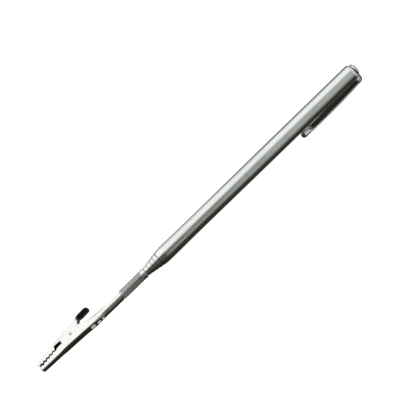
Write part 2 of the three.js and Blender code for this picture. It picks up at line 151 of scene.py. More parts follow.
def ease(share: Array) -> Array:
    """A share clipped to 0..1 and eased at both ends: 3s^2 - 2s^3."""
    clipped = np.clip(share, 0.0, 1.0)
    return clipped * clipped * (3 - 2 * clipped)


def along(line: Line, x: Array, blur: float = 0.8) -> Array:
    """Height of a bent line at x, with its corners eased.

    The line is read at nine places spread evenly over the blur and averaged.

    Args:
        line: corners as (x, height).
        x: where to read it.
        blur: length over which a corner is eased, in mm.

    Returns:
        The heights, in the shape of x.
    """
    knots = np.array(line)
    spread = np.linspace(-blur / 2, blur / 2, 9)
    return np.interp(np.asarray(x)[..., None] + spread, knots[:, 0], knots[:, 1]).mean(-1)


def soften(outline: Array, cut: float | Array, steps: int = 6, closed: bool = True) -> Array:
    """Rounds the corners of an outline.

    Both runs at a corner P are cut back by the same length, to A and B, and joined by the
    curve (1-t)^2 A + 2t(1-t) P + t^2 B, with t from 0 to 1.

    Args:
        outline: corner points, in any number of dimensions.
        cut: how far each corner is cut back, one value or one per corner.
        steps: points on each rounded corner.
        closed: whether the last corner runs on into the first.

    Returns:
        The rounded outline.
    """
    back = np.roll(outline, 1, 0) - outline
    ahead = np.roll(outline, -1, 0) - outline
    shorter = np.minimum(np.linalg.norm(back, axis=1), np.linalg.norm(ahead, axis=1))
    reach = np.minimum(np.broadcast_to(cut, shorter.shape), 0.45 * shorter).copy()
    if not closed:
        reach[[0, -1]] = 0.0
    start = outline + unit(back) * reach[:, None]
    end = outline + unit(ahead) * reach[:, None]
    t = np.linspace(0, 1, steps)[:, None, None]
    curve = (1 - t) ** 2 * start + 2 * t * (1 - t) * outline + t * t * end
    return curve.transpose(1, 0, 2).reshape(-1, outline.shape[1])


def refine(line: Array, spacing: float) -> Array:
    """A line with points added so that no run is longer than the spacing."""
    length = np.linalg.norm(np.diff(line, axis=0), axis=1)
    parts = np.maximum(1, np.ceil(length / spacing)).astype(int)
    stations = np.concatenate(
        [i + np.arange(n) / n for i, n in enumerate(parts)] + [[len(line) - 1]]
    )
    knots = np.arange(len(line))
    return np.stack([np.interp(stations, knots, column) for column in line.T], -1)


def arc(centre: tuple[float, float], radius: float, start: float, end: float, steps: int) -> Array:
    """Points of a circular arc, from one angle to another in degrees."""
    angle = np.radians(np.linspace(start, end, steps + 1))
    return np.stack(
        [centre[0] + radius * np.cos(angle), centre[1] + radius * np.sin(angle)], -1
    )


def lathe(outline: Array, around: int = AROUND) -> Array:
    """Surface of revolution: for angle a, the point is (x, r cos a, r sin a).

    Args:
        outline: (x, r) points; r may be 0 at its two ends.
        around: how many angles.

    Returns:
        Points as rows along the outline by columns round the axis.
    """
    angle = np.linspace(0, 2 * np.pi, around, endpoint=False)
    x = np.broadcast_to(outline[:, :1], (len(outline), around))
    r = outline[:, 1:2]
    return np.stack([x, r * np.cos(angle), r * np.sin(angle)], -1)


def mouth_painted_shade(outline: Array, mouth: float, depth: float, fade: float) -> Array:
    """Painted shade at a lathed mouth along its outline: dark up to a depth, then fading out."""
    return 0.9 * (1 - ease((outline[:, :1] - mouth - depth) / fade))


# ---------------------------------------------------------------- skins


@dataclass
class Skin:
    """A closed surface sewn together from nets of points."""

    seat: Seat
    roll: Roll = Roll.STRAIGHT
    points: list[Array] = field(default_factory=list)
    quads: list[Array] = field(default_factory=list)
    shades: list[Array] = field(default_factory=list)

    def net(
        self,
        grid: Array,
        loop_rows: bool = False,
        loop_cols: bool = False,
        shade: float | Array = 0.0,
    ) -> Skin:
        """Adds a net of points, with a quad for each cell of its grid.

        Args:
            grid: drawn points, rows by columns by 3.
            loop_rows: whether the last row runs on into the first.
            loop_cols: whether the last column runs on into the first.
            shade: how much painted shade darkens the metal there, from 0 to 1, one value or one per point.

        Returns:
            This skin.
        """
        rows, cols = grid.shape[:2]
        index = np.arange(rows * cols).reshape(rows, cols)
        if loop_rows:
            index = np.concatenate([index, index[:1]])
        if loop_cols:
            index = np.concatenate([index, index[:, :1]], axis=1)
        cells = np.stack([index[:-1, :-1], index[:-1, 1:], index[1:, 1:], index[1:, :-1]], -1)
        self.quads.append(cells.reshape(-1, 4) + sum(len(p) for p in self.points))
        self.points.append(grid.reshape(-1, 3))
        self.shades.append(np.broadcast_to(shade, (rows, cols)).reshape(-1))
        return self

    def sheet(
        self,
        outer: Array,
        inner: Array,
        ends: tuple[bool, bool],
        sides: bool = True,
        shade: float | Array = 0.0,
    ) -> Skin:
        """Adds a sheet of metal: its two faces, and a rounded edge along each open border.

        Args:
            outer: net of one face.
            inner: net of the other face, cell for cell.
            ends: whether the first and the last row are open edges.
            sides: whether the first and the last column are open edges.
            shade: how much painted shade darkens the second face.

        Returns:
            This skin.
        """
        self.net(outer).net(inner, shade=shade)
        free = np.ones(len(outer))
        free[0] = 0.0 if ends[0] else 1.0
        free[-1] = 0.0 if ends[1] else 1.0
        if sides:
            self.net(rounded_edge(outer[:, 0], inner[:, 0], outer[:, 1], free))
            self.net(rounded_edge(outer[:, -1], inner[:, -1], outer[:, -2], free))
        corner = np.ones(outer.shape[1])
        corner[[0, -1]] = 0.0 if sides else 1.0
        if ends[0]:
            self.net(rounded_edge(outer[0], inner[0], outer[1], corner))
        if ends[1]:
            self.net(rounded_edge(outer[-1], inner[-1], outer[-2], corner))
        return self

    def build(self, name: str, crease: float = 38.0) -> bpy.types.Object:
        """Makes the piece: sews the nets, drops faces of no area and turns the rest outwards.

        Args:
            name: the piece's name.
            crease: angle in degrees past which an edge stays sharp.

        Returns:
            The new object, at the origin with its place in its mesh.
        """
        placed = self.seat.place(np.concatenate(self.points), self.roll)
        mesh = bpy.data.meshes.new(name)
        mesh.from_pydata(placed, [], np.concatenate(self.quads).tolist())
        shade = mesh.attributes.new(SHADE, "FLOAT", "POINT")
        shade.data.foreach_set("value", np.concatenate(self.shades).astype(np.float32))
        work = bmesh.new()
        work.from_mesh(mesh)
        bmesh.ops.remove_doubles(work, verts=work.verts, dist=4e-7)
        bmesh.ops.dissolve_degenerate(work, edges=work.edges, dist=1e-7)
        bmesh.ops.recalc_face_normals(work, faces=work.faces)
        work.to_mesh(mesh)
        work.free()
        mesh.shade_smooth()
        mesh.set_sharp_from_angle(angle=math.radians(crease))
        piece = bpy.data.objects.new(name, mesh)
        bpy.context.scene.collection.objects.link(piece)
        return piece


def rounded_edge(outer: Array, inner: Array, inside: Array, swell: Array, steps: int = 9) -> Array:
    """The rounded edge of a sheet.

    For an angle a from 0 to pi the point is the middle of the edge, plus half the thickness
    times cos a, plus 0.4 of that half thickness times sin a along the way out of the sheet.

    Args:
        outer: the border of one face.
        inner: the border of the other face.
        inside: the points next to the border on the first face.
        swell: 1 where the edge is rounded and 0 where it stays flat, one per point.
        steps: points across the edge.

    Returns:
        A net of points, from the first face to the other.
    """
    half = (outer - inner) / 2
    out = unit(outer - inside) * np.linalg.norm(half, axis=-1, keepdims=True)
    angle = np.linspace(0, np.pi, steps)[:, None, None]
    middle = (outer + inner) / 2
    return middle + half * np.cos(angle) + 0.4 * swell[:, None] * out * np.sin(angle)


def drill(
    piece: bpy.types.Object,
    seat: Seat,
    roll: Roll,
    spot: Point,
    way: str,
    radius: float,
    depth: float,
) -> None:
    """Cuts a round hole through a piece.

    Args:
        piece: the piece, whose mesh is changed.
        seat: the seat of the tool.
        roll: the turn of the piece's group.
        spot: middle of the hole, drawn.
        way: "x", "y" or "z", the drawn direction of the hole.
        radius: of the hole, in mm.
        depth: length of the cutter, in mm.
    """
    ends = depth / 2 * np.array([-1.0, -1.0, 1.0, 1.0])
    tube = lathe(np.stack([ends, [0.0, radius, radius, 0.0]], -1), 40)
    order = {"x": [0, 1, 2], "y": [1, 0, 2], "z": [1, 2, 0]}[way]
    cutter = Skin(seat, roll).net(tube[..., order] + np.array(spot), loop_cols=True).build("cutter")
    cut = piece.modifiers.new("hole", "BOOLEAN")
    cut.object, cut.operation, cut.solver = cutter, "DIFFERENCE", "EXACT"
    bpy.context.view_layer.update()
    cut_mesh = bpy.data.meshes.new_from_object(
        piece.evaluated_get(bpy.context.evaluated_depsgraph_get())
    )
    piece.modifiers.clear()
    spare, piece.data = piece.data, cut_mesh
    cut_mesh.name = piece.name
    bpy.data.meshes.remove(spare)
    bpy.data.objects.remove(cutter)


def sweep(path: Array, radius: float, around: int = 16) -> Array:
    """A round wire carried along a path that stays nearly square to z.

    At each point the ring lies in the plane of n = z x t and b = t x n, for the tangent t:
    the point is P + r (n cos a + b sin a). Both ends are drawn in to a point.

    Args:
        path: centre line of the wire.
        radius: of the wire.
        around: points round the wire.

    Returns:
        A net whose rows go along the wire.
    """
    tangent = unit(np.gradient(path, axis=0))
    normal = unit(np.cross([0.0, 0.0, 1.0], tangent))
    binormal = np.cross(tangent, normal)
    angle = np.linspace(0, 2 * np.pi, around, endpoint=False)[None, :, None]
    ring = normal[:, None] * np.cos(angle) + binormal[:, None] * np.sin(angle)
    body = path[:, None] + radius * ring
    drawn_in = np.array([0.0, 0.55, 0.85])[:, None, None]
    first = path[0] - tangent[0] * radius * (0.35 - 0.35 * drawn_in) + radius * ring[0] * drawn_in
    last = path[-1] + tangent[-1] * radius * (0.35 - 0.35 * drawn_in) + radius * ring[-1] * drawn_in
    return np.concatenate([first, body, last[::-1]])


# ---------------------------------------------------------------- finishes


class Graph:
    """A small helper that adds and joins nodes in one node tree."""

    def __init__(self, tree: bpy.types.NodeTree) -> None:
        """Keeps the tree."""
        self.tree = tree

    def node(
        self, kind: str, inputs: dict[str | int, object] | None = None, **settings: object
    ) -> bpy.types.Node:
        """Adds a node.

        Args:
            kind: the node's type name.
            inputs: for each input, a value or the output that feeds it.
            settings: the node's own properties.

        Returns:
            The node.
        """
        made = self.tree.nodes.new(kind)
        for key, value in settings.items():
            setattr(made, key, value)
        for key, value in (inputs or {}).items():
            if isinstance(value, bpy.types.NodeSocket):
                self.tree.links.new(value, made.inputs[key])
            else:
                made.inputs[key].default_value = value
        return made

    def math(self, operation: str, *values: object, clamp: bool = False) -> bpy.types.NodeSocket:
        """A Math node's output, for one to three values or outputs."""
        made = self.node(
            "ShaderNodeMath", dict(enumerate(values)), operation=operation, use_clamp=clamp
        )
        return made.outputs[0]

    def spread(
        self, value: object, low: float, high: float, to_low: float, to_high: float
    ) -> bpy.types.NodeSocket:
        """A value carried from one range to another with eased ends."""
        made = self.node(
            "ShaderNodeMapRange",
            {0: value, 1: low, 2: high, 3: to_low, 4: to_high},
            interpolation_type="SMOOTHSTEP",
        )
        return made.outputs[0]

    def blend(self, share: object, first: object, second: object) -> bpy.types.NodeSocket:
        """A colour between two, by a share."""
        made = self.node("ShaderNodeMix", data_type="RGBA")
        for key, value in ((0, share), (6, first), (7, second)):
            if isinstance(value, bpy.types.NodeSocket):
                self.tree.links.new(value, made.inputs[key])
            else:
                made.inputs[key].default_value = value if key == 0 else (*value, 1.0)
        return made.outputs[2]


class Effect(Enum):
    """Node groups that more than one finish uses."""

    SMUDGES = "handling smudges"
    GRAIN = "drawn grain"
    SCRATCHES = "hairline scratches"
    EDGES = "rubbed edges"


def effect_group(effect: Effect) -> bpy.types.NodeTree:
    """Builds a shared effect once, and gives it back after that.

    Args:
        effect: which one.

    Returns:
        The node group.
    """
    known = bpy.data.node_groups.get(effect.value)
    if known:
        return known
    group = bpy.data.node_groups.new(effect.value, "ShaderNodeTree")
    makers = {
        Effect.SMUDGES: _smudges,
        Effect.GRAIN: _grain,
        Effect.SCRATCHES: _scratches,
        Effect.EDGES: _rubbed_edges,
    }
    makers[effect](group)
    return group


def _sockets(
    group: bpy.types.NodeTree, inputs: dict[str, str], output: str
) -> tuple[Graph, bpy.types.Node, bpy.types.Node]:
    """Gives a group its named sockets.

    Args:
        group: the group.
        inputs: socket names and their types.
        output: name of its one output, a float.

    Returns:
        A graph on the group, its input node and its output node.
    """
    for name, kind in inputs.items():
        group.interface.new_socket(name, in_out="INPUT", socket_type=kind)
    group.interface.new_socket(output, in_out="OUTPUT", socket_type="NodeSocketFloat")
    graph = Graph(group)
    return graph, graph.node("NodeGroupInput"), graph.node("NodeGroupOutput")


def _smudges(group: bpy.types.NodeTree) -> None:
    """Soft patches left by handling: two sizes of noise, multiplied."""
    kinds = {"Vector": "NodeSocketVector", "Scale": "NodeSocketFloat"}
    graph, given, out = _sockets(group, kinds, "Mask")
    wide = graph.node(
        "ShaderNodeTexNoise",
        {"Vector": given.outputs[0], "Scale": given.outputs[1], "Detail": 3.0, "Distortion": 0.6},
    )
    finer = graph.math("MULTIPLY", given.outputs[1], 5.3)
    small = graph.node(
        "ShaderNodeTexNoise",
        {"Vector": given.outputs[0], "Scale": finer, "Detail": 4.0, "Roughness": 0.6},
    )
    patches = graph.spread(wide.outputs[0], 0.42, 0.68, 0.0, 1.0)
    specks = graph.spread(small.outputs[0], 0.35, 0.65, 0.35, 1.0)
    group.links.new(graph.math("MULTIPLY", patches, specks), out.inputs[0])


def _grain(group: bpy.types.NodeTree) -> None:
    """Fine parallel lines: noise read on coordinates stretched by a vector."""
    kinds = {"Vector": "NodeSocketVector", "Stretch": "NodeSocketVector"}
    graph, given, out = _sockets(group, kinds, "Height")
    stretched = graph.node(
        "ShaderNodeVectorMath", {0: given.outputs[0], 1: given.outputs[1]}, operation="MULTIPLY"
    )
    lines = graph.node(
        "ShaderNodeTexNoise", {"Vector": stretched.outputs[0], "Scale": 1.0, "Detail": 5.0}
    )
    group.links.new(lines.outputs[0], out.inputs[0])


def _scratches(group: bpy.types.NodeTree) -> None:
    """Sparse hairlines: two crossed, stretched noises, kept only near one value."""
    kinds = {"Vector": "NodeSocketVector", "Scale": "NodeSocketFloat"}
    graph, given, out = _sockets(group, kinds, "Mask")
    lines = []
    for turn, stretch in ((0.5, (0.06, 1.0, 1.0)), (-0.9, (0.09, 1.0, 1.0))):
        turned = graph.node(
            "ShaderNodeMapping",
            {
                "Vector": given.outputs[0],
                "Rotation": (turn * 0.4, turn * 0.7, turn),
                "Scale": stretch,
            },
        )
        noise = graph.node(
            "ShaderNodeTexNoise",
            {"Vector": turned.outputs[0], "Scale": given.outputs[1], "Detail": 1.0},
        )
        off = graph.math("ABSOLUTE", graph.math("SUBTRACT", noise.outputs[0], 0.5))
        lines.append(graph.spread(off, 0.0, 0.008, 1.0, 0.0))
    both = graph.math("MAXIMUM", *lines)
    cover = graph.node(
        "ShaderNodeTexNoise", {"Vector": given.outputs[0], "Scale": 260.0, "Detail": 2.0}
    )
    kept = graph.spread(cover.outputs[0], 0.48, 0.62, 0.0, 1.0)
    group.links.new(graph.math("MULTIPLY", both, kept), out.inputs[0])


def _rubbed_edges(group: bpy.types.NodeTree) -> None:
    """Edges that stand out, from the surface's pointiness, broken up by noise."""
    kinds = {"Vector": "NodeSocketVector", "Reach": "NodeSocketFloat"}
    graph, given, out = _sockets(group, kinds, "Mask")
    point = graph.node("ShaderNodeNewGeometry").outputs["Pointiness"]
    break_up = graph.node(
        "ShaderNodeTexNoise", {"Vector": given.outputs[0], "Scale": 900.0, "Detail": 3.0}
    )
    over = graph.math("SUBTRACT", point, 0.5)
    shown = graph.math("DIVIDE", over, given.outputs[1], clamp=True)
    group.links.new(
        graph.math("MULTIPLY", shown, graph.spread(break_up.outputs[0], 0.3, 0.6, 0.3, 1.0)),
        out.inputs[0],
    )


@dataclass(frozen=True)
class Finish:
    """A metal finish, with the marks that handling leaves on it.

    The fields are the slot's name, the clean, the dulled and the rubbed colour, roughness clean
    and dulled, the size of smudges (per metre), how the grain is stretched, how deep the grain
    and the scratches read, how soon an edge counts as rubbed, how far smudges stain, and the
    near-black colour of painted shade, blended in where the piece's shade attribute asks.
    """

    slot: str
    clean: Colour
    dulled: Colour
    worn: Colour
    gloss: float
    dull: float
    smudge_scale: float = 120.0
    grain: Point = (60.0, 9000.0, 9000.0)
    grain_depth: float = 0.06
    scratch_scale: float = 5000.0
    scratch_depth: float = 0.15
    edge_reach: float = 0.12
    stain: float = 0.5
    shade_colour: Colour = (0.03, 0.027, 0.022)

    def material(self) -> bpy.types.Material:
        """The finish as a material, made once.

        Returns:
            The material.
        """
        name = f"{self.slot}_finish"
        known = bpy.data.materials.get(name)
        if known:
            return known
        made = bpy.data.materials.new(name)
        made.use_nodes = True
        tree = made.node_tree
        shader = tree.nodes["Principled BSDF"]
        graph = Graph(tree)
        spot = graph.node("ShaderNodeTexCoord").outputs["Object"]
        smudge = self._effect(graph, Effect.SMUDGES, Vector=spot, Scale=self.smudge_scale)
        grain = self._effect(graph, Effect.GRAIN, Vector=spot, Stretch=self.grain)
        scratch = self._effect(graph, Effect.SCRATCHES, Vector=spot, Scale=self.scratch_scale)
        edge = self._effect(graph, Effect.EDGES, Vector=spot, Reach=self.edge_reach)

        # Painted shade: where the attribute is 1 the colour goes to the near-black shade colour and the
        # metal gets rougher.
        painted_shade = graph.node("ShaderNodeAttribute", attribute_name=SHADE).outputs["Fac"]
        stained = graph.math("MULTIPLY", smudge, self.stain)
        body = graph.blend(stained, self.clean, self.dulled)
        body = graph.blend(edge, body, self.worn)
        tree.links.new(graph.blend(painted_shade, body, self.shade_colour), shader.inputs["Base Color"])

        dulling = graph.spread(smudge, 0.0, 1.0, self.gloss, self.dull)
        dulling = graph.math("MULTIPLY_ADD", painted_shade, 0.2, dulling)
        lined = graph.math("MULTIPLY_ADD", grain, 0.5 * self.gloss, dulling)
        rough = graph.math("MULTIPLY_ADD", scratch, 0.12, lined, clamp=True)
        tree.links.new(rough, shader.inputs["Roughness"])

        drawn = graph.math("MULTIPLY", grain, self.grain_depth)
        height = graph.math("MULTIPLY_ADD", scratch, -self.scratch_depth, drawn)
        bump = graph.node("ShaderNodeBump", {"Height": height, "Strength": 0.35, "Distance": 2e-5})
        tree.links.new(bump.outputs[0], shader.inputs["Normal"])
        shader.inputs["Metallic"].default_value = 1.0
        return made

    def _effect(self, graph: Graph, effect: Effect, **inputs: object) -> bpy.types.NodeSocket:
        """Places a shared effect with its values, and gives its output."""
        placed = graph.node("ShaderNodeGroup", node_tree=effect_group(effect))
        for name, value in inputs.items():
            if isinstance(value, bpy.types.NodeSocket):
                graph.tree.links.new(value, placed.inputs[name])
            else:
                placed.inputs[name].default_value = value
        return placed.outputs[0]


CHROME = Finish("barrel_chrome", (0.86, 0.87, 0.865), (0.74, 0.75, 0.74), (0.9, 0.9, 0.88),
                0.07, 0.17)
BUTTON = Finish("button_chrome", (0.86, 0.87, 0.865), (0.72, 0.73, 0.72), (0.9, 0.9, 0.88), 0.08, 0.2,
                grain=(9000.0, 500.0, 500.0), smudge_scale=260.0)
TUBES = Finish("tube_chrome", (0.85, 0.86, 0.85), (0.68, 0.69, 0.67), (0.9, 0.89, 0.86), 0.08, 0.22,
               smudge_scale=200.0)
COLLAR = Finish("collar_chrome", (0.84, 0.84, 0.82), (0.6, 0.59, 0.56), (0.92, 0.91, 0.88), 0.09, 0.2,
                smudge_scale=420.0, grain=(9000.0, 700.0, 700.0), stain=0.7)
STRAP = Finish("clip_nickel", (0.82, 0.82, 0.79), (0.66, 0.65, 0.61), (0.93, 0.92, 0.88), 0.12, 0.28,
               smudge_scale=240.0)
JAWS = Finish("jaw_nickel", (0.87, 0.88, 0.86), (0.74, 0.74, 0.71), (0.9, 0.9, 0.88), 0.1, 0.2,
              smudge_scale=330.0, grain=(500.0, 5000.0, 5000.0), grain_depth=0.1)
RIVET = Finish("pin_steel", (0.5, 0.5, 0.5), (0.3, 0.29, 0.27), (0.75, 0.74, 0.72), 0.28, 0.45,
               smudge_scale=800.0, grain=(2500.0, 2500.0, 2500.0))
WIRE = Finish("spring_steel", (0.46, 0.46, 0.47), (0.27, 0.26, 0.25), (0.6, 0.6, 0.6), 0.3, 0.45,
              smudge_scale=900.0, grain=(3000.0, 3000.0, 3000.0))
LEAVES = Finish("leaf_brass", (0.72, 0.56, 0.3), (0.45, 0.34, 0.18), (0.85, 0.7, 0.42), 0.26, 0.42,
                smudge_scale=500.0)
BUSH = Finish("brass", (0.7, 0.55, 0.3), (0.42, 0.32, 0.17), (0.84, 0.7, 0.42), 0.24, 0.4,
              smudge_scale=400.0, grain=(8000.0, 500.0, 500.0))


def dress(piece: bpy.types.Object, finish: Finish, bodies: tuple[str, ...], nodes: tuple[str, ...]) -> None:
    """Gives a piece its finish, hides the CAD nodes it replaces, and parents it to what it moves with.

    Args:
        piece: the new piece.
        finish: its finish.
        bodies: the body it rides on; may be empty.
        nodes: the CAD nodes it replaces.
    """
    piece.data.materials.clear()
    piece.data.materials.append(finish.material())
    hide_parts(*nodes)
    for body in bodies:
        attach(piece, body)
    log.info("%s: %d faces, %s", piece.name, len(piece.data.polygons), finish.slot)


# ---------------------------------------------------------------- handle


@dataclass
class Handle:
    """The chromed barrel, the bush in its closed end, and the domed button."""

    seat: Seat
    mouth: float = 74.2
    end: float = 198.45
    radius: float = 4.0
    wall: float = 0.35
    nose: float = 4.0
    shoulder: float = 1.9
    lip: float = 3.54
    waist: float = 0.1
    button_radius: float = 2.9
    button_height: float = 1.29
    button_base: float = 199.2
    shank: float = 1.0
    bush_length: float = 7.0

    def barrel(self) -> bpy.types.Object:
        """The drawn tube: a lathe of its outside, round the shoulder, and back along the bore."""
        rise = self.radius - self.lip
        share = np.array(
            [
                [0, 0.1], [0.012, 0.26], [0.05, 0.34], [0.18, 0.45],
                [0.4, 0.68], [0.65, 0.88], [1, 0.97], [1.5, 1],
            ]
        )
        swell = np.stack([self.mouth + share[:, 0] * self.nose, self.lip + share[:, 1] * rise], -1)
        waist = np.array([[18.0, -self.waist], [34.0, -self.waist], [70.0, 0.0]])
        waist += [self.mouth, self.radius]
        corner = (self.end - self.shoulder, self.radius - self.shoulder)
        cut = np.array([0.0, 0.02, 0.05, 0.3, 0.5, 0.5, 0.5, 0.5])
        outside = np.concatenate([soften(swell, cut, 5, closed=False), waist])
        outside = np.concatenate([outside, arc(corner, self.shoulder, 90, 0, 16)])
        bore = self.radius - self.wall
        inside = np.concatenate(
            [
                arc(corner, self.shoulder - self.wall, 0, 90, 10),
                [[self.mouth + self.nose, bore], [self.mouth + 0.5 * self.nose, self.lip]],
                arc((self.mouth + 0.06, self.lip + 0.06), 0.06, -90, -200, 5),
            ]
        )
        profile = np.concatenate([outside, inside])
        # Painted shade in the gap at the barrel's mouth.
        lip_shade = mouth_painted_shade(profile, self.mouth, 0.2, 0.14)
        return Skin(self.seat).net(lathe(profile, 128), True, True, shade=lip_shade).build("barrel_shell")

    def bush(self) -> bpy.types.Object:
        """The turned brass bush, with rounded rims and a groove round its middle."""
        back = self.end - self.shoulder - 0.1
        front, bore, outer = back - self.bush_length, self.shank + 0.05, self.radius - self.wall - 0.1
        middle = (front + back) / 2
        corners = np.array(
            [
                [front, bore], [front, outer], [middle - 0.5, outer], [middle - 0.3, outer - 0.3],
                [middle + 0.3, outer - 0.3], [middle + 0.5, outer], [back, outer], [back, bore],
            ]
        )
        return Skin(self.seat).net(lathe(soften(corners, 0.15, 4), 64), True, True).build("barrel_bush")

    def button(self) -> bpy.types.Object:
        """The domed button and its shank: a spherical cap with a rounded rim."""
        rise, rim = self.button_height, self.button_radius
        ball = (rim**2 + rise**2) / (2 * rise)
        half = math.degrees(math.asin((rim - 0.12) / ball))
        dome = arc((self.button_base + rise - ball, 0.0), ball, half, 0, 18)
        edge = arc((self.button_base + 0.13, rim - 0.13), 0.13, 180, 90 - half * 0.6, 6)[1:]
        start = self.end - self.shoulder - 0.1 - self.bush_length + 1.0
        shank = np.array([[start, 0.0], [start, self.shank - 0.15], [start + 0.15, self.shank],
                          [self.button_base, self.shank], [self.button_base, rim - 0.13]])
        dome[-1, 1] = 0.0
        profile = np.concatenate([shank, edge, dome])
        return Skin(self.seat).net(lathe(profile), False, True).build("end_dome")

    def make(self) -> None:
        """Builds and dresses the handle's pieces."""
        dress(self.barrel(), CHROME, ("handle",), ("handle_barrel",))
        dress(self.bush(), BUSH, ("handle",), ("end_bush",))
        dress(self.button(), BUTTON, ("handle",), ("end_button",))


# ---------------------------------------------------------------- pocket clip


@dataclass
class PocketClip:
    """One strip of sheet: a ring under the button, a bend over the shoulder, and a springing arm."""

    seat: Seat
    plane: float = 198.55
    sheet: float = 0.55
    half_width: float = 2.5
    tip_half: float = 2.1
    length: float = 38.0
    bend: float = 1.4
    root: float = 5.25
    tip: float = 6.4
    ring: float = 3.1
    boss: float = 2.25
    coin: float = 0.38
    tip_round: float = 1.4
    shank_hole: float = 1.1
    flex_start: float = 0.9
    flex_end: float = 3.4

    def path(self) -> Array:
        """Centre line of the inner face, as (x, y), from the far rim of the ring to the tip."""
        centre = (self.plane - self.bend, self.root - self.bend)
        end = self.plane - self.length
        turn = arc(centre, self.bend, 0, 90, 14)
        start = centre[0] - 0.3
        share = np.array([[0.16, 0.42], [0.36, 0.74], [0.6, 1.0], [1.0, 1.0]])
        bow = np.stack(
            [start - share[:, 0] * (start - end), self.root + share[:, 1] * (self.tip - self.root)], -1
        )
        rounding = self.ring * np.sin(np.linspace(-np.pi / 2, 0.4, 14))
        ring = np.stack([np.full(14, self.plane), rounding], -1)
        flat = soften(np.concatenate([turn[-1:], bow]), 3.0, 8, closed=False)
        line = np.concatenate([ring, refine(np.concatenate([ring[-1:], turn[:1]]), 0.5)[1:-1],
                               turn[:-1], refine(flat, 0.35)])
        corner = self.tip_round * np.sin(np.linspace(0.0, np.pi / 2, 10))
        rounded = np.stack([end + self.tip_round - corner, np.full(10, self.tip)], -1)
        return np.concatenate([line[line[:, 0] > end + self.tip_round], rounded])

    def half_widths(self, line: Array) -> Array:
        """Half width of the strip at each point of its path: round at the ring and at the tip."""
        x, y = line.T
        end = self.plane - self.length
        on_ring = (x > self.plane - 1e-6) & (y < 1.3)
        disc = np.sqrt(np.clip(self.ring**2 - y**2, 0.0, None))
        disc = np.maximum(disc, np.where(y > 0, self.half_width, 0.0))
        taper = np.clip((self.plane - 14.0 - x) / (self.length - 14.0), 0.0, 1.0)
        arm = self.half_width + (self.tip_half - self.half_width) * taper
        r = self.tip_round
        left = np.clip(x - end, 0.0, r)
        corner = self.tip_half - r + np.sqrt(np.clip(r**2 - (r - left) ** 2, 0.0, None))
        return np.where(x < end + r, corner, np.where(on_ring, disc, arm))

    def faces(self) -> tuple[Array, Array, Array]:
        """The outer and the inner face of the strip, and the painted shade on the inner one.

        The inner face is P + w v across, with v from -1 to 1. Its long edges are coined away at
        a slope of 0.65. Near the tip it rises as a gabled foot that bears on the barrel:
        0.45 + 0.9 (w - |z|), kept under the foot's height. The outer face lies a sheet further
        out along the path's normal, with a dent behind the foot. The arm's inside carries painted
        shade away from the foot and from its long edges.

        Returns:
            Two nets, rows along the path by columns across it, and the inner one's shade.
        """
        line = self.path()
        width = self.half_widths(line)
        tangent = unit(np.gradient(line, axis=0))
        normal = np.stack([-tangent[:, 1], tangent[:, 0]], -1)
        normal *= np.where(normal[:, :1] + normal[:, 1:] > 0, 1.0, -1.0)
        half = np.array([0.0, 0.1, 0.2, 0.3, 0.4, 0.5, 0.6, 0.7, 0.78, 0.85, 0.9, 0.95, 1.0])
        across = np.concatenate([-half[:0:-1], half])
        z = width[:, None] * across
        tip_x = self.plane - self.length
        x = line[:, 0]
        rise = ease((x - tip_x - 0.6) / 1.2) * (1 - ease((x - tip_x - 3.4) / 3.6))
        gable = np.clip(0.45 + 0.9 * (width[:, None] - np.abs(z)), 0.0, self.boss)
        pressed = rise[:, None] * gable
        dent = 0.45 * rise[:, None] * (1 - ease((np.abs(z) - 0.25) / 0.9))
        arm = ease((self.plane - 0.9 - x) / 1.6)[:, None]
        coined = arm * 0.65 * np.clip(np.abs(z) - (width[:, None] - self.coin), 0.0, None)

        def face(offset: Array) -> Array:
            """The strip's face at an offset from its path along the normal."""
            flat = line[:, None] + offset[..., None] * normal[:, None]
            return np.concatenate([flat, z[..., None]], -1)

        # Painted shade on the arm's inside, kept off the foot and the long edges.
        edge = ease((np.abs(z) - width[:, None] + 0.5) / 0.2)
        painted_shade = arm * (1 - rise[:, None]) * (1 - edge)
        inner = face(coined * (1 - rise[:, None]) - pressed)
        return face(self.sheet - dent), inner, painted_shade

    def make(self) -> None:
        """Builds the strip, drills it for the button's shank, and dresses it."""
        outer, inner, painted_shade = self.faces()
        skin = Skin(self.seat, Roll.STRAP).sheet(outer, inner, (True, True), shade=painted_shade)
        strip = skin.build("pocket_clip_strip", 27.0)
        middle = (self.plane + self.sheet / 2, 0.0, 0.0)
        drill(strip, self.seat, Roll.STRAP, middle, "x", self.shank_hole, 3.0)
        dress(strip, STRAP, (), ("pocket_clip_collar", "pocket_clip_arm"))
        start = self.seat.point((self.plane - self.flex_start, self.root, 0.0), Roll.STRAP)
        end = self.seat.point((self.plane - self.flex_end, self.root, 0.0), Roll.STRAP)
        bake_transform(strip)


# ---------------------------------------------------------------- telescope


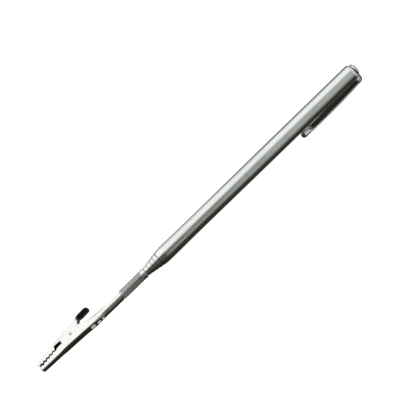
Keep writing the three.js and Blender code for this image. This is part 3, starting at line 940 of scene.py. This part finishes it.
@dataclass
class Telescope:
    """The four hollow tubes, the rod, and the friction leaves on their rear ends."""

    seat: Seat
    mouths: tuple[float, ...] = (72.1, 70.0, 67.9, 65.8)
    rears: tuple[float, ...] = (189.15, 180.95, 172.75, 164.55, 156.35)
    radii: tuple[float, ...] = (3.49, 3.13, 2.77, 2.41, 2.05)
    wall: float = 0.2
    gap: float = 0.16
    nose: float = 2.6
    neck_length: float = 6.5
    neck_depth: float = 0.15
    flange: float = 0.7
    running_gap: float = 0.05
    rod_front: float = 65.65
    rod_wall: float = 0.4
    spigot: float = 1.55
    spigot_length: float = 7.5
    leaf: float = 0.12
    leaf_gap: float = 0.04
    leaf_slot: float = 0.5

    def seat_line(self, i: int) -> Array:
        """Outside of a section's rear end: the reduced seat and the rim behind it."""
        radius, rear = self.radii[i], self.rears[i]
        last = rear - self.flange
        first = last - self.neck_length
        return np.array(
            [
                [first, radius], [first + 0.12, radius - self.neck_depth],
                [last - 0.12, radius - self.neck_depth], [last, radius - 0.02], [rear, radius - 0.02],
            ]
        )

    def tube(self, i: int) -> bpy.types.Object:
        """One hollow section: a lathe of its rolled mouth, its outside, its rear seat and its bore.

        Args:
            i: 0 for the largest tube.

        Returns:
            The piece.
        """
        radius, mouth = self.radii[i], self.mouths[i]
        lip = self.radii[i + 1] + self.running_gap
        bore = radius - self.wall
        neck = bore - self.neck_depth
        seat_start = self.rears[i] - self.flange - self.neck_length
        behind = np.array([0.0, 0.03, 0.12, 0.4, 1.2, 2.2])
        under = np.array([0.31, 0.22, 0.15, 0.11, 0.05, 0.005])
        nose = np.stack([mouth + behind, radius - under], -1)
        back = np.array(
            [
                [self.rears[i], neck], [seat_start - 0.3, neck], [seat_start - 0.7, bore],
                [mouth + self.nose, bore], [mouth + 0.6 * self.nose, lip], [mouth + 0.05, lip],
            ]
        )
        profile = np.concatenate([nose, self.seat_line(i), back])
        cut = np.concatenate([[0.01, 0.02, 0.05, 0.2, 0.4, 0.4], np.full(11, 0.03)])
        outline = soften(profile, cut, 4)
        # Painted shade in the gap at the tube's mouth.
        lip_shade = mouth_painted_shade(outline, mouth, 0.16, 0.12)
        skin = Skin(self.seat).net(lathe(outline), True, True, shade=lip_shade)
        return skin.build(f"tube_{i + 1}_shell")

    def rod(self) -> bpy.types.Object:
        """The innermost section: a solid spigot and shoulder in front, hollow behind."""
        front, radius = self.rod_front, self.radii[-1]
        bore = radius - self.rod_wall
        start = front - self.spigot_length
        profile = np.concatenate(
            [
                [[start, 0.0], [start, self.spigot], [front, self.spigot], [front, radius]],
                self.seat_line(len(self.mouths)),
                [[self.rears[-1], bore], [front + 3, bore], [front + 2, 0.0]],
            ]
        )
        outline = soften(profile, 0.06, 4, closed=False)
        return Skin(self.seat).net(lathe(outline), False, True).build("rod_shell")

    def friction_leaf(self, i: int, side: int) -> bpy.types.Object:
        """A bowed half-round leaf.

        Its radius goes from low at both ends to high over the middle, eased; for an angle a
        over a little less than a half turn the point is (x, r cos a, r sin a).

        Args:
            i: the section that carries it, 0 for the largest.
            side: 1 or -1.

        Returns:
            The piece.
        """
        radius = self.radii[i]
        last = self.rears[i] - self.flange - 0.3
        first = last - self.neck_length + 0.6
        low = radius - self.neck_depth + self.leaf_gap
        high = radius + self.gap - self.leaf_gap - self.leaf
        share = np.linspace(0, 1, 25)
        bow = low + (high - low) * np.minimum(ease(share / 0.3), ease((1 - share) / 0.3))
        x = (first + share * (last - first))[:, None]
        slot = math.asin(self.leaf_slot / 2 / radius)
        angle = np.linspace(slot - np.pi / 2, np.pi / 2 - slot, 36)

        def face(r: Array) -> Array:
            """The leaf's face at a radius for each place along it."""
            return np.stack(
                [x + 0 * angle, side * r[:, None] * np.cos(angle), r[:, None] * np.sin(angle)], -1
            )

        letter = "a" if side > 0 else "b"
        skin = Skin(self.seat).sheet(face(bow + self.leaf), face(bow), (True, True))
        return skin.build(f"leaf_{i + 1}{letter}_strip")

    def make(self) -> None:
        """Builds and dresses every section and its leaves."""
        for i in range(len(self.mouths)):
            dress(self.tube(i), TUBES, (f"tube_{i + 1}",), (f"telescope_tube_{i + 1}",))
        dress(self.rod(), TUBES, ("rod",), ("telescope_rod",))
        for i in range(len(self.rears)):
            body = "rod" if i == len(self.mouths) else f"tube_{i + 1}"
            for side, letter in ((1, "a"), (-1, "b")):
                leaf = self.friction_leaf(i, side)
                dress(leaf, LEAVES, (body,), (f"friction_leaf_{i + 1}{letter}",))


# ---------------------------------------------------------------- head


@dataclass
class Collar:
    """The knurled collar, with its tang in front and its socket for the rod behind."""

    seat: Seat
    tang_start: float = 41.3
    tang: float = 1.75
    front: float = 50.6
    rear: float = 65.5
    band: float = 2.2
    radius: float = 2.43
    front_radius: float = 2.25
    ribs: int = 18
    rib_depth: float = 0.26
    ring_pitch: float = 0.9
    socket: float = 1.6
    socket_length: float = 8.1

    def make(self) -> None:
        """Builds and dresses the collar.

        It is a lathe whose radius also falls between the ribs: r - d g(x) h, where g is 1 over
        the knurl and 0 outside it, and h is the larger of a rounded tooth wave of the angle
        and 0.8 of a like wave along the tool. The grooves' bottoms carry painted shade.
        """
        knurl_start, knurl_end = self.front + 0.45, self.rear - self.band
        groove = np.array([[knurl_end, self.radius], [knurl_end + 0.08, self.radius - 0.22],
                           [knurl_end + 0.3, self.radius - 0.22], [knurl_end + 0.38, self.radius]])
        outline = np.concatenate(
            [
                [[self.tang_start, 0.0], [self.tang_start, self.tang - 0.35],
                 [self.tang_start + 0.35, self.tang], [self.front, self.tang],
                 [self.front, self.front_radius], [knurl_start, self.radius - 0.03],
                 [knurl_start + 0.1, self.radius]],
                groove,
                [[self.rear, self.radius], [self.rear, self.socket],
                 [self.rear - self.socket_length, self.socket], [self.rear - self.socket_length, 0.0]],
            ]
        )
        outline = refine(soften(outline, 0.05, 4, closed=False), 0.1)
        around = self.ribs * 12
        grid = lathe(outline, around)
        wave = np.cos(np.linspace(0, 2 * np.pi * self.ribs, around, endpoint=False))
        tooth = ease((wave - 0.05) / 0.8)
        x, r = outline.T
        on_knurl = ease((x - knurl_start + 0.1) / 0.25) * (1 - ease((x - knurl_end + 0.12) / 0.12))
        on_knurl *= r > self.radius - 0.3
        rings = ease((np.cos(2 * np.pi * (x - knurl_start) / self.ring_pitch) - 0.1) / 0.7)[:, None]
        depth = np.maximum(tooth, 0.8 * rings)
        depth = on_knurl[:, None] * np.broadcast_to(depth, grid.shape[:2])
        grid[..., 1:] *= (1 - self.rib_depth * depth / np.maximum(r, 0.5)[:, None])[..., None]
        # Painted shade in the deeper grooves of the knurl.
        skin = Skin(self.seat, Roll.HEAD).net(grid, False, True, shade=0.75 * ease((depth - 0.5) / 0.3))
        dress(skin.build("collar_knurled", 50.0), COLLAR, ("head",), ("knurled_collar",))


@dataclass
class Jaws:
    """The fixed jaw, the moving jaw, the rivet they turn on and the spring between them."""

    seat: Seat
    sheet: float = 0.45
    fold: float = 0.75
    pivot: tuple[float, float] = (21.2, 3.2)
    pin: float = 0.55
    ear_half: float = 2.1
    link_half: float = 1.4
    bite_half: float = 1.7
    tip_half: float = 1.5
    tail: float = 2.25
    channel: float = 39.3
    tail_end: float = 50.3
    tooth_pitch: float = 2.0
    tooth_height: float = 0.75
    tooth_count: int = 5
    tab_half: float = 2.8
    tab_end: float = 34.8
    tab_round: float = 2.1
    tab_curl: float = 0.62
    wire: float = 0.2
    coil_turns: float = 2.33
    leg: float = 6.3
    tip: float = 0.2
    bow: float = 0.7
    ear_end: float = 26.0
    hole_run: float = 13.3
    slot_centre: tuple[float, float] = (14.6, 3.7)
    slot_round: float = 1.3

    floor = [(0.0, -0.3), (6.4, -0.47), (16.6, -0.7), (26.0, -1.15), (39.3, -2.25), (60.0, -2.25)]
    roof = [(0.0, 4.4), (2.8, 5.1), (6.4, 5.75), (12.0, 6.5), (17.5, 7.2), (26.6, 8.2),
            (34.8, 8.6), (40.0, 8.85)]
    # Each floor hole: how far it stands along the channel behind the ears, and its radius.
    holes = ((0.4, 1.35), (0.65, 1.0), (0.85, 0.75))

    def teeth(self, side: int) -> Array:
        """Corners of a row of teeth as (x, y, x of the same rib at the fold)."""
        n = np.arange(2 * self.tooth_count + 1)
        x = 0.7 + n * self.tooth_pitch / 2
        wave = np.where(n % 2, 0.5, -0.5) * self.tooth_height
        return np.stack([x, 2.0 + 0.09 * x + wave + side * (1.4 - 0.05 * x) / 2, x], -1)

    def nose(self, height: float, slope: float = 0.0) -> Array:
        """Corners of the rounded bow in front of the teeth, as (x, y, x at the fold)."""
        x = self.tip + 0.5 * (1 - np.cos(np.linspace(0, np.pi / 2, 9)[:-1]))
        return np.stack([x, height + (x - self.tip) * slope, x], -1)

    def hull(
        self,
        edge: Array,
        fold_line: Line,
        plan: Line,
        way: int,
        inset: float,
        stern: float | None = None,
        rolled: bool = False,
    ) -> Array:
        """One face of a folded channel, closed round its tip like a boat's bow.

        Each rib starts at the middle of the folded face, runs out to half the plan's width less
        the fold's radius, turns a quarter round the fold, and climbs to the edge. Towards the
        tip the width shrinks as (1 - (1-s)^p)^(1/p). Behind the ears a rolled jaw's ribs go
        over into arcs of the tail's circle, by the share of their length.

        Args:
            edge: the open edge as (x, y, x at the fold).
            fold_line: height of the folded face along x.
            plan: half width along x.
            way: 1 if the walls climb, -1 if they hang.
            inset: how far this face lies inside the outer one, in mm.
            stern: where a rounded rear end closes, if it does.
            rolled: whether the channel goes over into the round tail.

        Returns:
            A net, ribs by points across from one edge to the other.
        """
        top_x, top_y, low_x = edge.T
        shift = inset * (1 - np.clip((edge[:, [0, 2]] - self.tip) / 3.0, 0.0, 1.0)) ** 2
        if stern is not None:
            shift -= inset * (1 - np.clip((stern - edge[:, [0, 2]]) / 3.2, 0.0, 1.0)) ** 2
        top_x, low_x = top_x + shift[:, 0], low_x + shift[:, 1]
        start = self.tip + inset

        def width(x: Array) -> Array:
            """Half width of this face at x."""
            s = np.clip((x - start) / self.bow, 0.0, 1.0)
            shrink = (1 - (1 - s) ** 3.2) ** (1 / 3.2)
            w = (along(plan, x, 1.2) - inset) * shrink
            if stern is None:
                return w
            reach = self.tab_round - 0.5 * inset
            q = np.clip((x - stern + inset + reach) / reach, 0.0, 1.0)
            return w * (1 - q**2.5) ** (1 / 2.5)

        rise = (0.5 if way > 0 else 0.2) * (1 - np.clip((low_x - start) / 0.9, 0.0, 1.0)) ** 2
        if stern is not None:
            rise = rise + 0.25 * np.clip((low_x - stern + 1.6) / 1.6, 0.0, 1.0) ** 2
        base = along(fold_line, low_x) + way * (inset + rise)
        half = width(low_x)
        bend = np.minimum(max(self.fold - inset, 0.2), 0.85 * half)
        k = np.linspace(0, 1, 5)[:-1]
        flat_z = (half - bend)[:, None] * k
        flat_y = base[:, None] + 0 * k
        a = np.linspace(0, np.pi / 2, 8)
        fold_z = (half - bend)[:, None] + bend[:, None] * np.sin(a)
        fold_y = base[:, None] + way * bend[:, None] * (1 - np.cos(a))
        h = np.linspace(0, 1, 12)[1:]
        wall_x = low_x[:, None] + (top_x - low_x)[:, None] * h
        foot = base + way * bend
        wall_y = foot[:, None] + (top_y - foot)[:, None] * h
        wall_z = width(wall_x)
        z = np.concatenate([flat_z, fold_z, wall_z], 1)
        y = np.concatenate([flat_y, fold_y, wall_y], 1)
        x = np.concatenate([np.repeat(low_x[:, None], 12, 1), wall_x], 1)
        if rolled:
            radius = self.tail - inset
            steps = np.hypot(np.diff(z, axis=1), np.diff(y, axis=1))
            share = np.concatenate([np.zeros((len(z), 1)), np.cumsum(steps, 1)], 1)
            share /= share[:, -1:]
            last = np.arcsin(np.clip(top_y / radius, -1.0, 1.0))
            angle = -np.pi / 2 + share * (last + np.pi / 2)[:, None]
            rolling = ease((low_x - 30.0) / (self.channel - 29.5))[:, None]
            z = z + rolling * (radius * np.cos(angle) - z)
            y = y + rolling * (radius * np.sin(angle) - y)
        side = np.stack([x, y, z], -1)
        return np.concatenate([side[:, :0:-1] * [1, 1, -1], side], 1)

    def shade_of(self, face: Array) -> Array:
        """Painted shade on the inside of a channel: full up to the ears and fading behind them, and up to
        0.75 above a height of 5.5 mm, as under the thumb tab.
        """
        x, y = face[..., 0], face[..., 1]
        return np.maximum(1 - ease((x - 24.0) / 4.0), 0.75 * ease((y - 5.5) / 0.8))

    def fixed_jaw(self) -> bpy.types.Object:
        """The folded channel with pivot ears, drilled behind them, with its tail round the tang."""
        ear = np.array([(16.6, 5.0), (24.2, 5.0), (self.ear_end, 4.3), (30.0, 2.65), (34.0, 1.8),
                        (self.channel, 1.5), (40.6, 1.45), (42.0, 0.6), (self.tail_end, 0.5)])
        slot = arc(self.slot_centre, self.slot_round, -90, 50, 14)
        slot = np.column_stack([slot, np.linspace(14.3, 15.6, len(slot))])
        rest = soften(np.column_stack([ear, ear[:, 0]]), 0.7, 6, closed=False)
        front = np.concatenate([self.nose(1.3, 0.1), self.teeth(-1), [(11.1, 2.4, 11.1)]])
        edge = np.concatenate([front, slot, rest])
        edge = refine(edge, 0.3)
        plan = [(0.0, self.tip_half), (12.0, self.bite_half), (15.0, self.ear_half),
                (self.ear_end, self.ear_half), (36.0, self.tail), (60.0, self.tail)]
        insets = (0.0, self.sheet)
        faces = [self.hull(edge, self.floor, plan, 1, inset, None, True) for inset in insets]
        # Painted shade on the fixed jaw's inner face.
        jaw = Skin(self.seat, Roll.HEAD).sheet(*faces, (False, True), shade=self.shade_of(faces[1]))
        jaw = jaw.build("jaw_fixed_shell")
        for share, radius in self.holes:
            spot = (self.ear_end + share * self.hole_run, -2.0, 0.0)
            drill(jaw, self.seat, Roll.HEAD, spot, "y", radius, 4.0)
        drill(jaw, self.seat, Roll.HEAD, (*self.pivot, 0.0), "z", self.pin + 0.05, 12.0)
        return jaw

    def moving_jaw(self) -> bpy.types.Object:
        """The upturned channel between the ears, ending in a dished thumb tab."""
        low = np.array([(11.6, 5.0), (17.2, 5.0), (17.8, 2.2), (24.6, 2.0), (26.6, 5.4), (27.6, 6.6)])
        body = soften(np.column_stack([low, low[:, 0]]), 0.35, 5, closed=False)
        turn = 1 - (1 - np.linspace(0.03, 1, 22)) ** 2.2
        x = np.concatenate([np.linspace(28.2, 32.7, 12), 32.7 + self.tab_round * turn])
        curl = self.tab_curl * (1 - 0.25 * ease((x - 30.0) / 4.0))
        tab = np.stack([x, along(self.roof, x) - curl, x], -1)
        edge = refine(np.concatenate([self.nose(3.5), self.teeth(1), body, tab]), 0.3)
        plan = [(0.0, self.tip_half), (11.0, self.bite_half - 0.05), (13.8, self.link_half),
                (27.0, self.link_half), (28.8, self.tab_half), (60.0, self.tab_half)]
        insets = (0.0, self.sheet)
        faces = [self.hull(edge, self.roof, plan, -1, inset, self.tab_end) for inset in insets]
        # Painted shade on the moving jaw's inner face.
        jaw = Skin(self.seat, Roll.HEAD).sheet(*faces, (False, False), shade=self.shade_of(faces[1]))
        jaw = jaw.build("jaw_moving_shell")
        drill(jaw, self.seat, Roll.HEAD, (*self.pivot, 0.0), "z", self.pin + 0.12, 12.0)
        return jaw

    def rivet(self) -> bpy.types.Object:
        """The rivet: a lathe about z with a domed, slightly spread head at each end."""
        head = np.array([[2.3, 0.0], [2.28, 0.25], [2.2, 0.45], [2.1, 0.55], [1.6, 0.55]])
        outline = np.concatenate([head * [-1, 1], head[::-1]])
        ring = lathe(outline, 40)[..., [1, 2, 0]] + [*self.pivot, 0.0]
        return Skin(self.seat, Roll.HEAD).net(ring, False, True).build("jaw_rivet")

    def spring(self) -> bpy.types.Object:
        """The torsion spring: a helix round the rivet, with one leg on the floor and one on the roof.

        The helix is (x0 + R cos a, y0 + R sin a, z) with a falling and z rising evenly; the legs
        are straight, and the joints are eased by averaging along the wire.

        Returns:
            The piece.
        """
        x, y = self.pivot
        radius = self.pin + 0.4 + self.wire
        half = self.link_half - self.sheet - 0.15 - self.wire
        clear = self.sheet + self.wire + 0.15
        end = x + self.leg
        floor = float(along(self.floor, np.array([end]))[0]) + clear
        roof = float(along(self.roof, np.array([end]))[0]) - clear
        t = np.linspace(0, 1, 240)
        angle = math.radians(245) - t * self.coil_turns * 2 * np.pi
        ring = [x + radius * np.cos(angle), y + radius * np.sin(angle)]
        coil = np.stack([*ring, -half + 2 * half * t], -1)
        line = refine(np.concatenate([[(end, floor, -half)], coil, [(end, roof, half)]]), 0.1)
        for _ in range(3):
            line[2:-2] = (line[:-4] + line[1:-3] + line[2:-2] + line[3:-1] + line[4:]) / 5
        skin = Skin(self.seat, Roll.HEAD).net(sweep(line, self.wire), False, True)
        return skin.build("jaw_spring_wire")

    def make(self) -> None:
        """Builds and dresses the jaws, the rivet and the spring."""
        dress(self.fixed_jaw(), JAWS, ("head",), ("fixed_jaw",))
        dress(self.moving_jaw(), JAWS, ("lever",), ("moving_jaw",))
        dress(self.rivet(), RIVET, ("head",), ("jaw_pivot_pin",))
        spring = self.spring()
        dress(spring, WIRE, (), ("jaw_spring",))
        start = self.seat.point((self.pivot[0], self.pivot[1] - 2.4, 0.0), Roll.HEAD)
        end = self.seat.point((self.pivot[0], self.pivot[1] + 2.4, 0.0), Roll.HEAD)
        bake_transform(spring)


# ---------------------------------------------------------------- studio


@dataclass
class Studio:
    """A pale floor, a soft light tent that runs along the tool, and the camera."""

    seat: Seat
    turn: float = -44.16
    width: float = 0.1832
    height: float = 0.75
    aim: tuple[float, float] = (0.0062, 0.0056)
    floor_size: float = 12.0
    rear_zone: tuple[float, float] = (-0.02, 0.05)
    jaws_zone: tuple[float, float] = (-0.065, -0.05)
    ahead_zone: tuple[float, float] = (-0.9, -0.5)
    behind_zone: tuple[float, float] = (0.3, 0.8)
    dark_end: Colour = (0.07, 0.07, 0.065)
    pale_end: Colour = (0.72, 0.73, 0.72)

    # What the tent shows at each angle from straight up, positive towards +Y: a grey ceiling,
    # a white wall on the +Y side, a dark one on the other, and a pale ground.
    tent = (
        (-180, (0.62, 0.62, 0.61)), (-155, (0.5, 0.5, 0.49)), (-140, (0.16, 0.16, 0.15)),
        (-128, (0.045, 0.04, 0.03)), (-106, (0.024, 0.022, 0.017)), (-89, (0.035, 0.032, 0.024)),
        (-74, (0.055, 0.052, 0.042)), (-62, (0.16, 0.16, 0.14)),
        (-47, (0.32, 0.33, 0.3)), (-35, (0.38, 0.4, 0.37)), (-23, (0.42, 0.44, 0.42)),
        (-10, (0.45, 0.47, 0.45)), (4, (0.38, 0.4, 0.39)), (14, (0.42, 0.44, 0.43)),
        (24, (0.62, 0.64, 0.63)), (34, (0.88, 0.91, 0.9)), (47, (0.95, 0.97, 0.96)),
        (60, (1.0, 1.02, 1.0)), (78, (1.0, 1.02, 1.01)), (92, (0.82, 0.84, 0.83)),
        (106, (0.55, 0.57, 0.56)), (128, (0.18, 0.19, 0.19)), (145, (0.06, 0.06, 0.06)),
        (163, (0.12, 0.12, 0.12)), (180, (0.62, 0.62, 0.61)),
    )
    # The same wall of the tent nearer the jaws, where its ceiling hangs darker.
    tent_front = (
        (-180, (0.62, 0.62, 0.61)), (-155, (0.5, 0.5, 0.49)), (-140, (0.16, 0.16, 0.15)),
        (-128, (0.055, 0.05, 0.04)), (-106, (0.02, 0.018, 0.014)),
        (-80, (0.035, 0.033, 0.026)), (-60, (0.04, 0.04, 0.032)), (-47, (0.16, 0.16, 0.14)),
        (-36, (0.38, 0.38, 0.34)), (-25, (0.22, 0.23, 0.21)), (-8, (0.15, 0.16, 0.15)),
        (4, (0.17, 0.18, 0.17)), (13, (0.32, 0.33, 0.32)), (24, (0.82, 0.84, 0.82)),
        (40, (0.95, 0.97, 0.95)), (60, (1.0, 1.02, 1.0)), (80, (0.95, 0.97, 0.95)),
        (100, (0.72, 0.74, 0.72)), (128, (0.45, 0.46, 0.45)), (150, (0.1, 0.1, 0.1)),
        (163, (0.14, 0.14, 0.14)), (180, (0.62, 0.62, 0.61)),
    )
    # Past the collar the ceiling of the tent is dark altogether.
    tent_jaws = (
        (-180, (0.6, 0.6, 0.59)), (-155, (0.45, 0.45, 0.44)), (-140, (0.1, 0.1, 0.09)),
        (-128, (0.03, 0.027, 0.02)), (-106, (0.018, 0.016, 0.012)),
        (-80, (0.03, 0.026, 0.018)), (-50, (0.05, 0.046, 0.036)), (-30, (0.1, 0.1, 0.085)),
        (-10, (0.075, 0.075, 0.065)), (6, (0.09, 0.09, 0.08)), (16, (0.3, 0.31, 0.29)),
        (26, (0.85, 0.87, 0.84)), (40, (1.08, 1.1, 1.07)), (80, (1.1, 1.12, 1.09)),
        (100, (0.85, 0.87, 0.85)), (125, (0.6, 0.61, 0.6)), (150, (0.15, 0.15, 0.15)),
        (180, (0.6, 0.6, 0.59)),
    )

    def camera(self) -> None:
        """A long lens straight above the tool, turned so that it runs across the frame."""
        data = bpy.data.cameras.new("camera")
        data.sensor_width = 36.0
        data.lens = 18.0 * self.height / (self.width / 2)
        data.clip_start, data.clip_end = 0.01, 50.0
        view = bpy.data.objects.new("camera", data)
        view.location = (*self.aim, self.seat.axis_z + self.height)
        view.rotation_euler = (0.0, 0.0, math.radians(self.turn))
        bpy.context.scene.collection.objects.link(view)
        bpy.context.scene.camera = view

    def floor(self) -> None:
        """A plain pale sheet that curves up far away, lit from within so that it stays even."""
        span = np.linspace(-1, 1, 41) * self.floor_size / 2
        x, y = np.meshgrid(span, span)
        rise = 0.02 * np.clip(np.hypot(x, y) - 4.5, 0.0, None) ** 2
        grid = np.stack([x, y, rise], -1)
        mesh = bpy.data.meshes.new("floor")
        index = np.arange(41 * 41).reshape(41, 41)
        cells = np.stack([index[:-1, :-1], index[:-1, 1:], index[1:, 1:], index[1:, :-1]], -1)
        mesh.from_pydata(grid.reshape(-1, 3), [], cells.reshape(-1, 4).tolist())
        mesh.shade_smooth()
        floor = bpy.data.objects.new("floor", mesh)
        bpy.context.scene.collection.objects.link(floor)
        paper = bpy.data.materials.new("pale_paper")
        paper.use_nodes = True
        shader = paper.node_tree.nodes["Principled BSDF"]
        graph = Graph(paper.node_tree)
        spot = graph.node("ShaderNodeTexCoord").outputs["Object"]
        fibres = graph.node("ShaderNodeTexNoise", {"Vector": spot, "Scale": 900.0, "Detail": 3.0})
        tone = graph.spread(fibres.outputs[0], 0.3, 0.7, 0.0, 1.0)
        paper.node_tree.links.new(
            graph.blend(tone, (0.8, 0.8, 0.79), (0.84, 0.84, 0.83)), shader.inputs["Base Color"]
        )
        shader.inputs["Roughness"].default_value = 0.9
        shader.inputs["Specular IOR Level"].default_value = 0.0
        shader.inputs["Emission Color"].default_value = (1.0, 1.0, 1.0, 1.0)
        shader.inputs["Emission Strength"].default_value = 0.8
        mesh.materials.append(paper)
        floor.visible_glossy = False

    def _ramp(
        self, graph: Graph, place: bpy.types.NodeSocket, stops: tuple[tuple[int, Colour], ...]
    ) -> bpy.types.NodeSocket:
        """A colour ramp over the angle round the tool."""
        ramp = graph.node("ShaderNodeValToRGB", {0: place})
        points = ramp.color_ramp.elements
        while len(points) < len(stops):
            points.new(0.5)
        for point, (angle, colour) in zip(points, stops):
            point.position = (angle + 180.0) / 360.0
            point.color = (*colour, 1.0)
        return ramp.outputs[0]

    def light(self) -> None:
        """The tent: its tone depends on the angle round the tool and on the zone along it.

        The angle is atan2(y, z) of the direction, and the zone goes by its x. The end ahead of
        the tool is dark and the end behind it is pale. Seen straight by the camera the tent is
        a plain pale backdrop.
        """
        world = bpy.data.worlds.new("tent")
        bpy.context.scene.world = world
        world.use_nodes = True
        tree = world.node_tree
        graph = Graph(tree)
        way = graph.node("ShaderNodeTexCoord").outputs["Generated"]
        axes = graph.node("ShaderNodeSeparateXYZ", {0: way})
        angle = graph.math("ARCTAN2", axes.outputs[1], axes.outputs[2])
        place = graph.math("MULTIPLY_ADD", angle, 0.5 / math.pi, 0.5)
        rear = self._ramp(graph, place, self.tent)
        front = self._ramp(graph, place, self.tent_front)
        jaws = self._ramp(graph, place, self.tent_jaws)
        towards_rear = graph.spread(axes.outputs[0], *self.rear_zone, 0.0, 1.0)
        tent = graph.blend(towards_rear, front, rear)
        past_collar = graph.spread(axes.outputs[0], *self.jaws_zone, 1.0, 0.0)
        tent = graph.blend(past_collar, tent, jaws)
        ahead = graph.spread(axes.outputs[0], *self.ahead_zone, 1.0, 0.0)
        tent = graph.blend(ahead, tent, self.dark_end)
        behind = graph.spread(axes.outputs[0], *self.behind_zone, 0.0, 0.8)
        tent = graph.blend(behind, tent, self.pale_end)
        back = tree.nodes["Background"]
        tree.links.new(tent, back.inputs["Color"])
        plain = graph.node("ShaderNodeBackground", {"Color": (1.0, 1.0, 1.0, 1.0), "Strength": 1.0})
        seen = graph.node("ShaderNodeLightPath").outputs["Is Camera Ray"]
        mix = graph.node("ShaderNodeMixShader", {0: seen, 1: back.outputs[0], 2: plain.outputs[0]})
        tree.links.new(mix.outputs[0], tree.nodes["World Output"].inputs["Surface"])

    def softbox(self) -> None:
        """A broad, weak area light above, which evens the floor."""
        data = bpy.data.lights.new("softbox", "AREA")
        data.shape, data.size, data.energy = "DISK", 1.6, 6.0
        lamp = bpy.data.objects.new("softbox", data)
        lamp.location = (0.0, 0.0, 1.6)
        lamp.visible_glossy = False
        bpy.context.scene.collection.objects.link(lamp)

    def make(self) -> None:
        """Sets up the camera, the floor and the light."""
        bpy.context.scene.view_settings.view_transform = "Standard"
        self.camera()
        self.floor()
        self.light()
        self.softbox()


def main() -> None:
    """Builds the studio and then each sub-assembly."""
    logging.basicConfig(level=logging.INFO, format="%(message)s")
    seat = Seat.of_frame()
    for assembly in (Studio, Handle, PocketClip, Telescope, Collar, Jaws):
        assembly(seat).make()


if __name__ == "__main__":
    main()
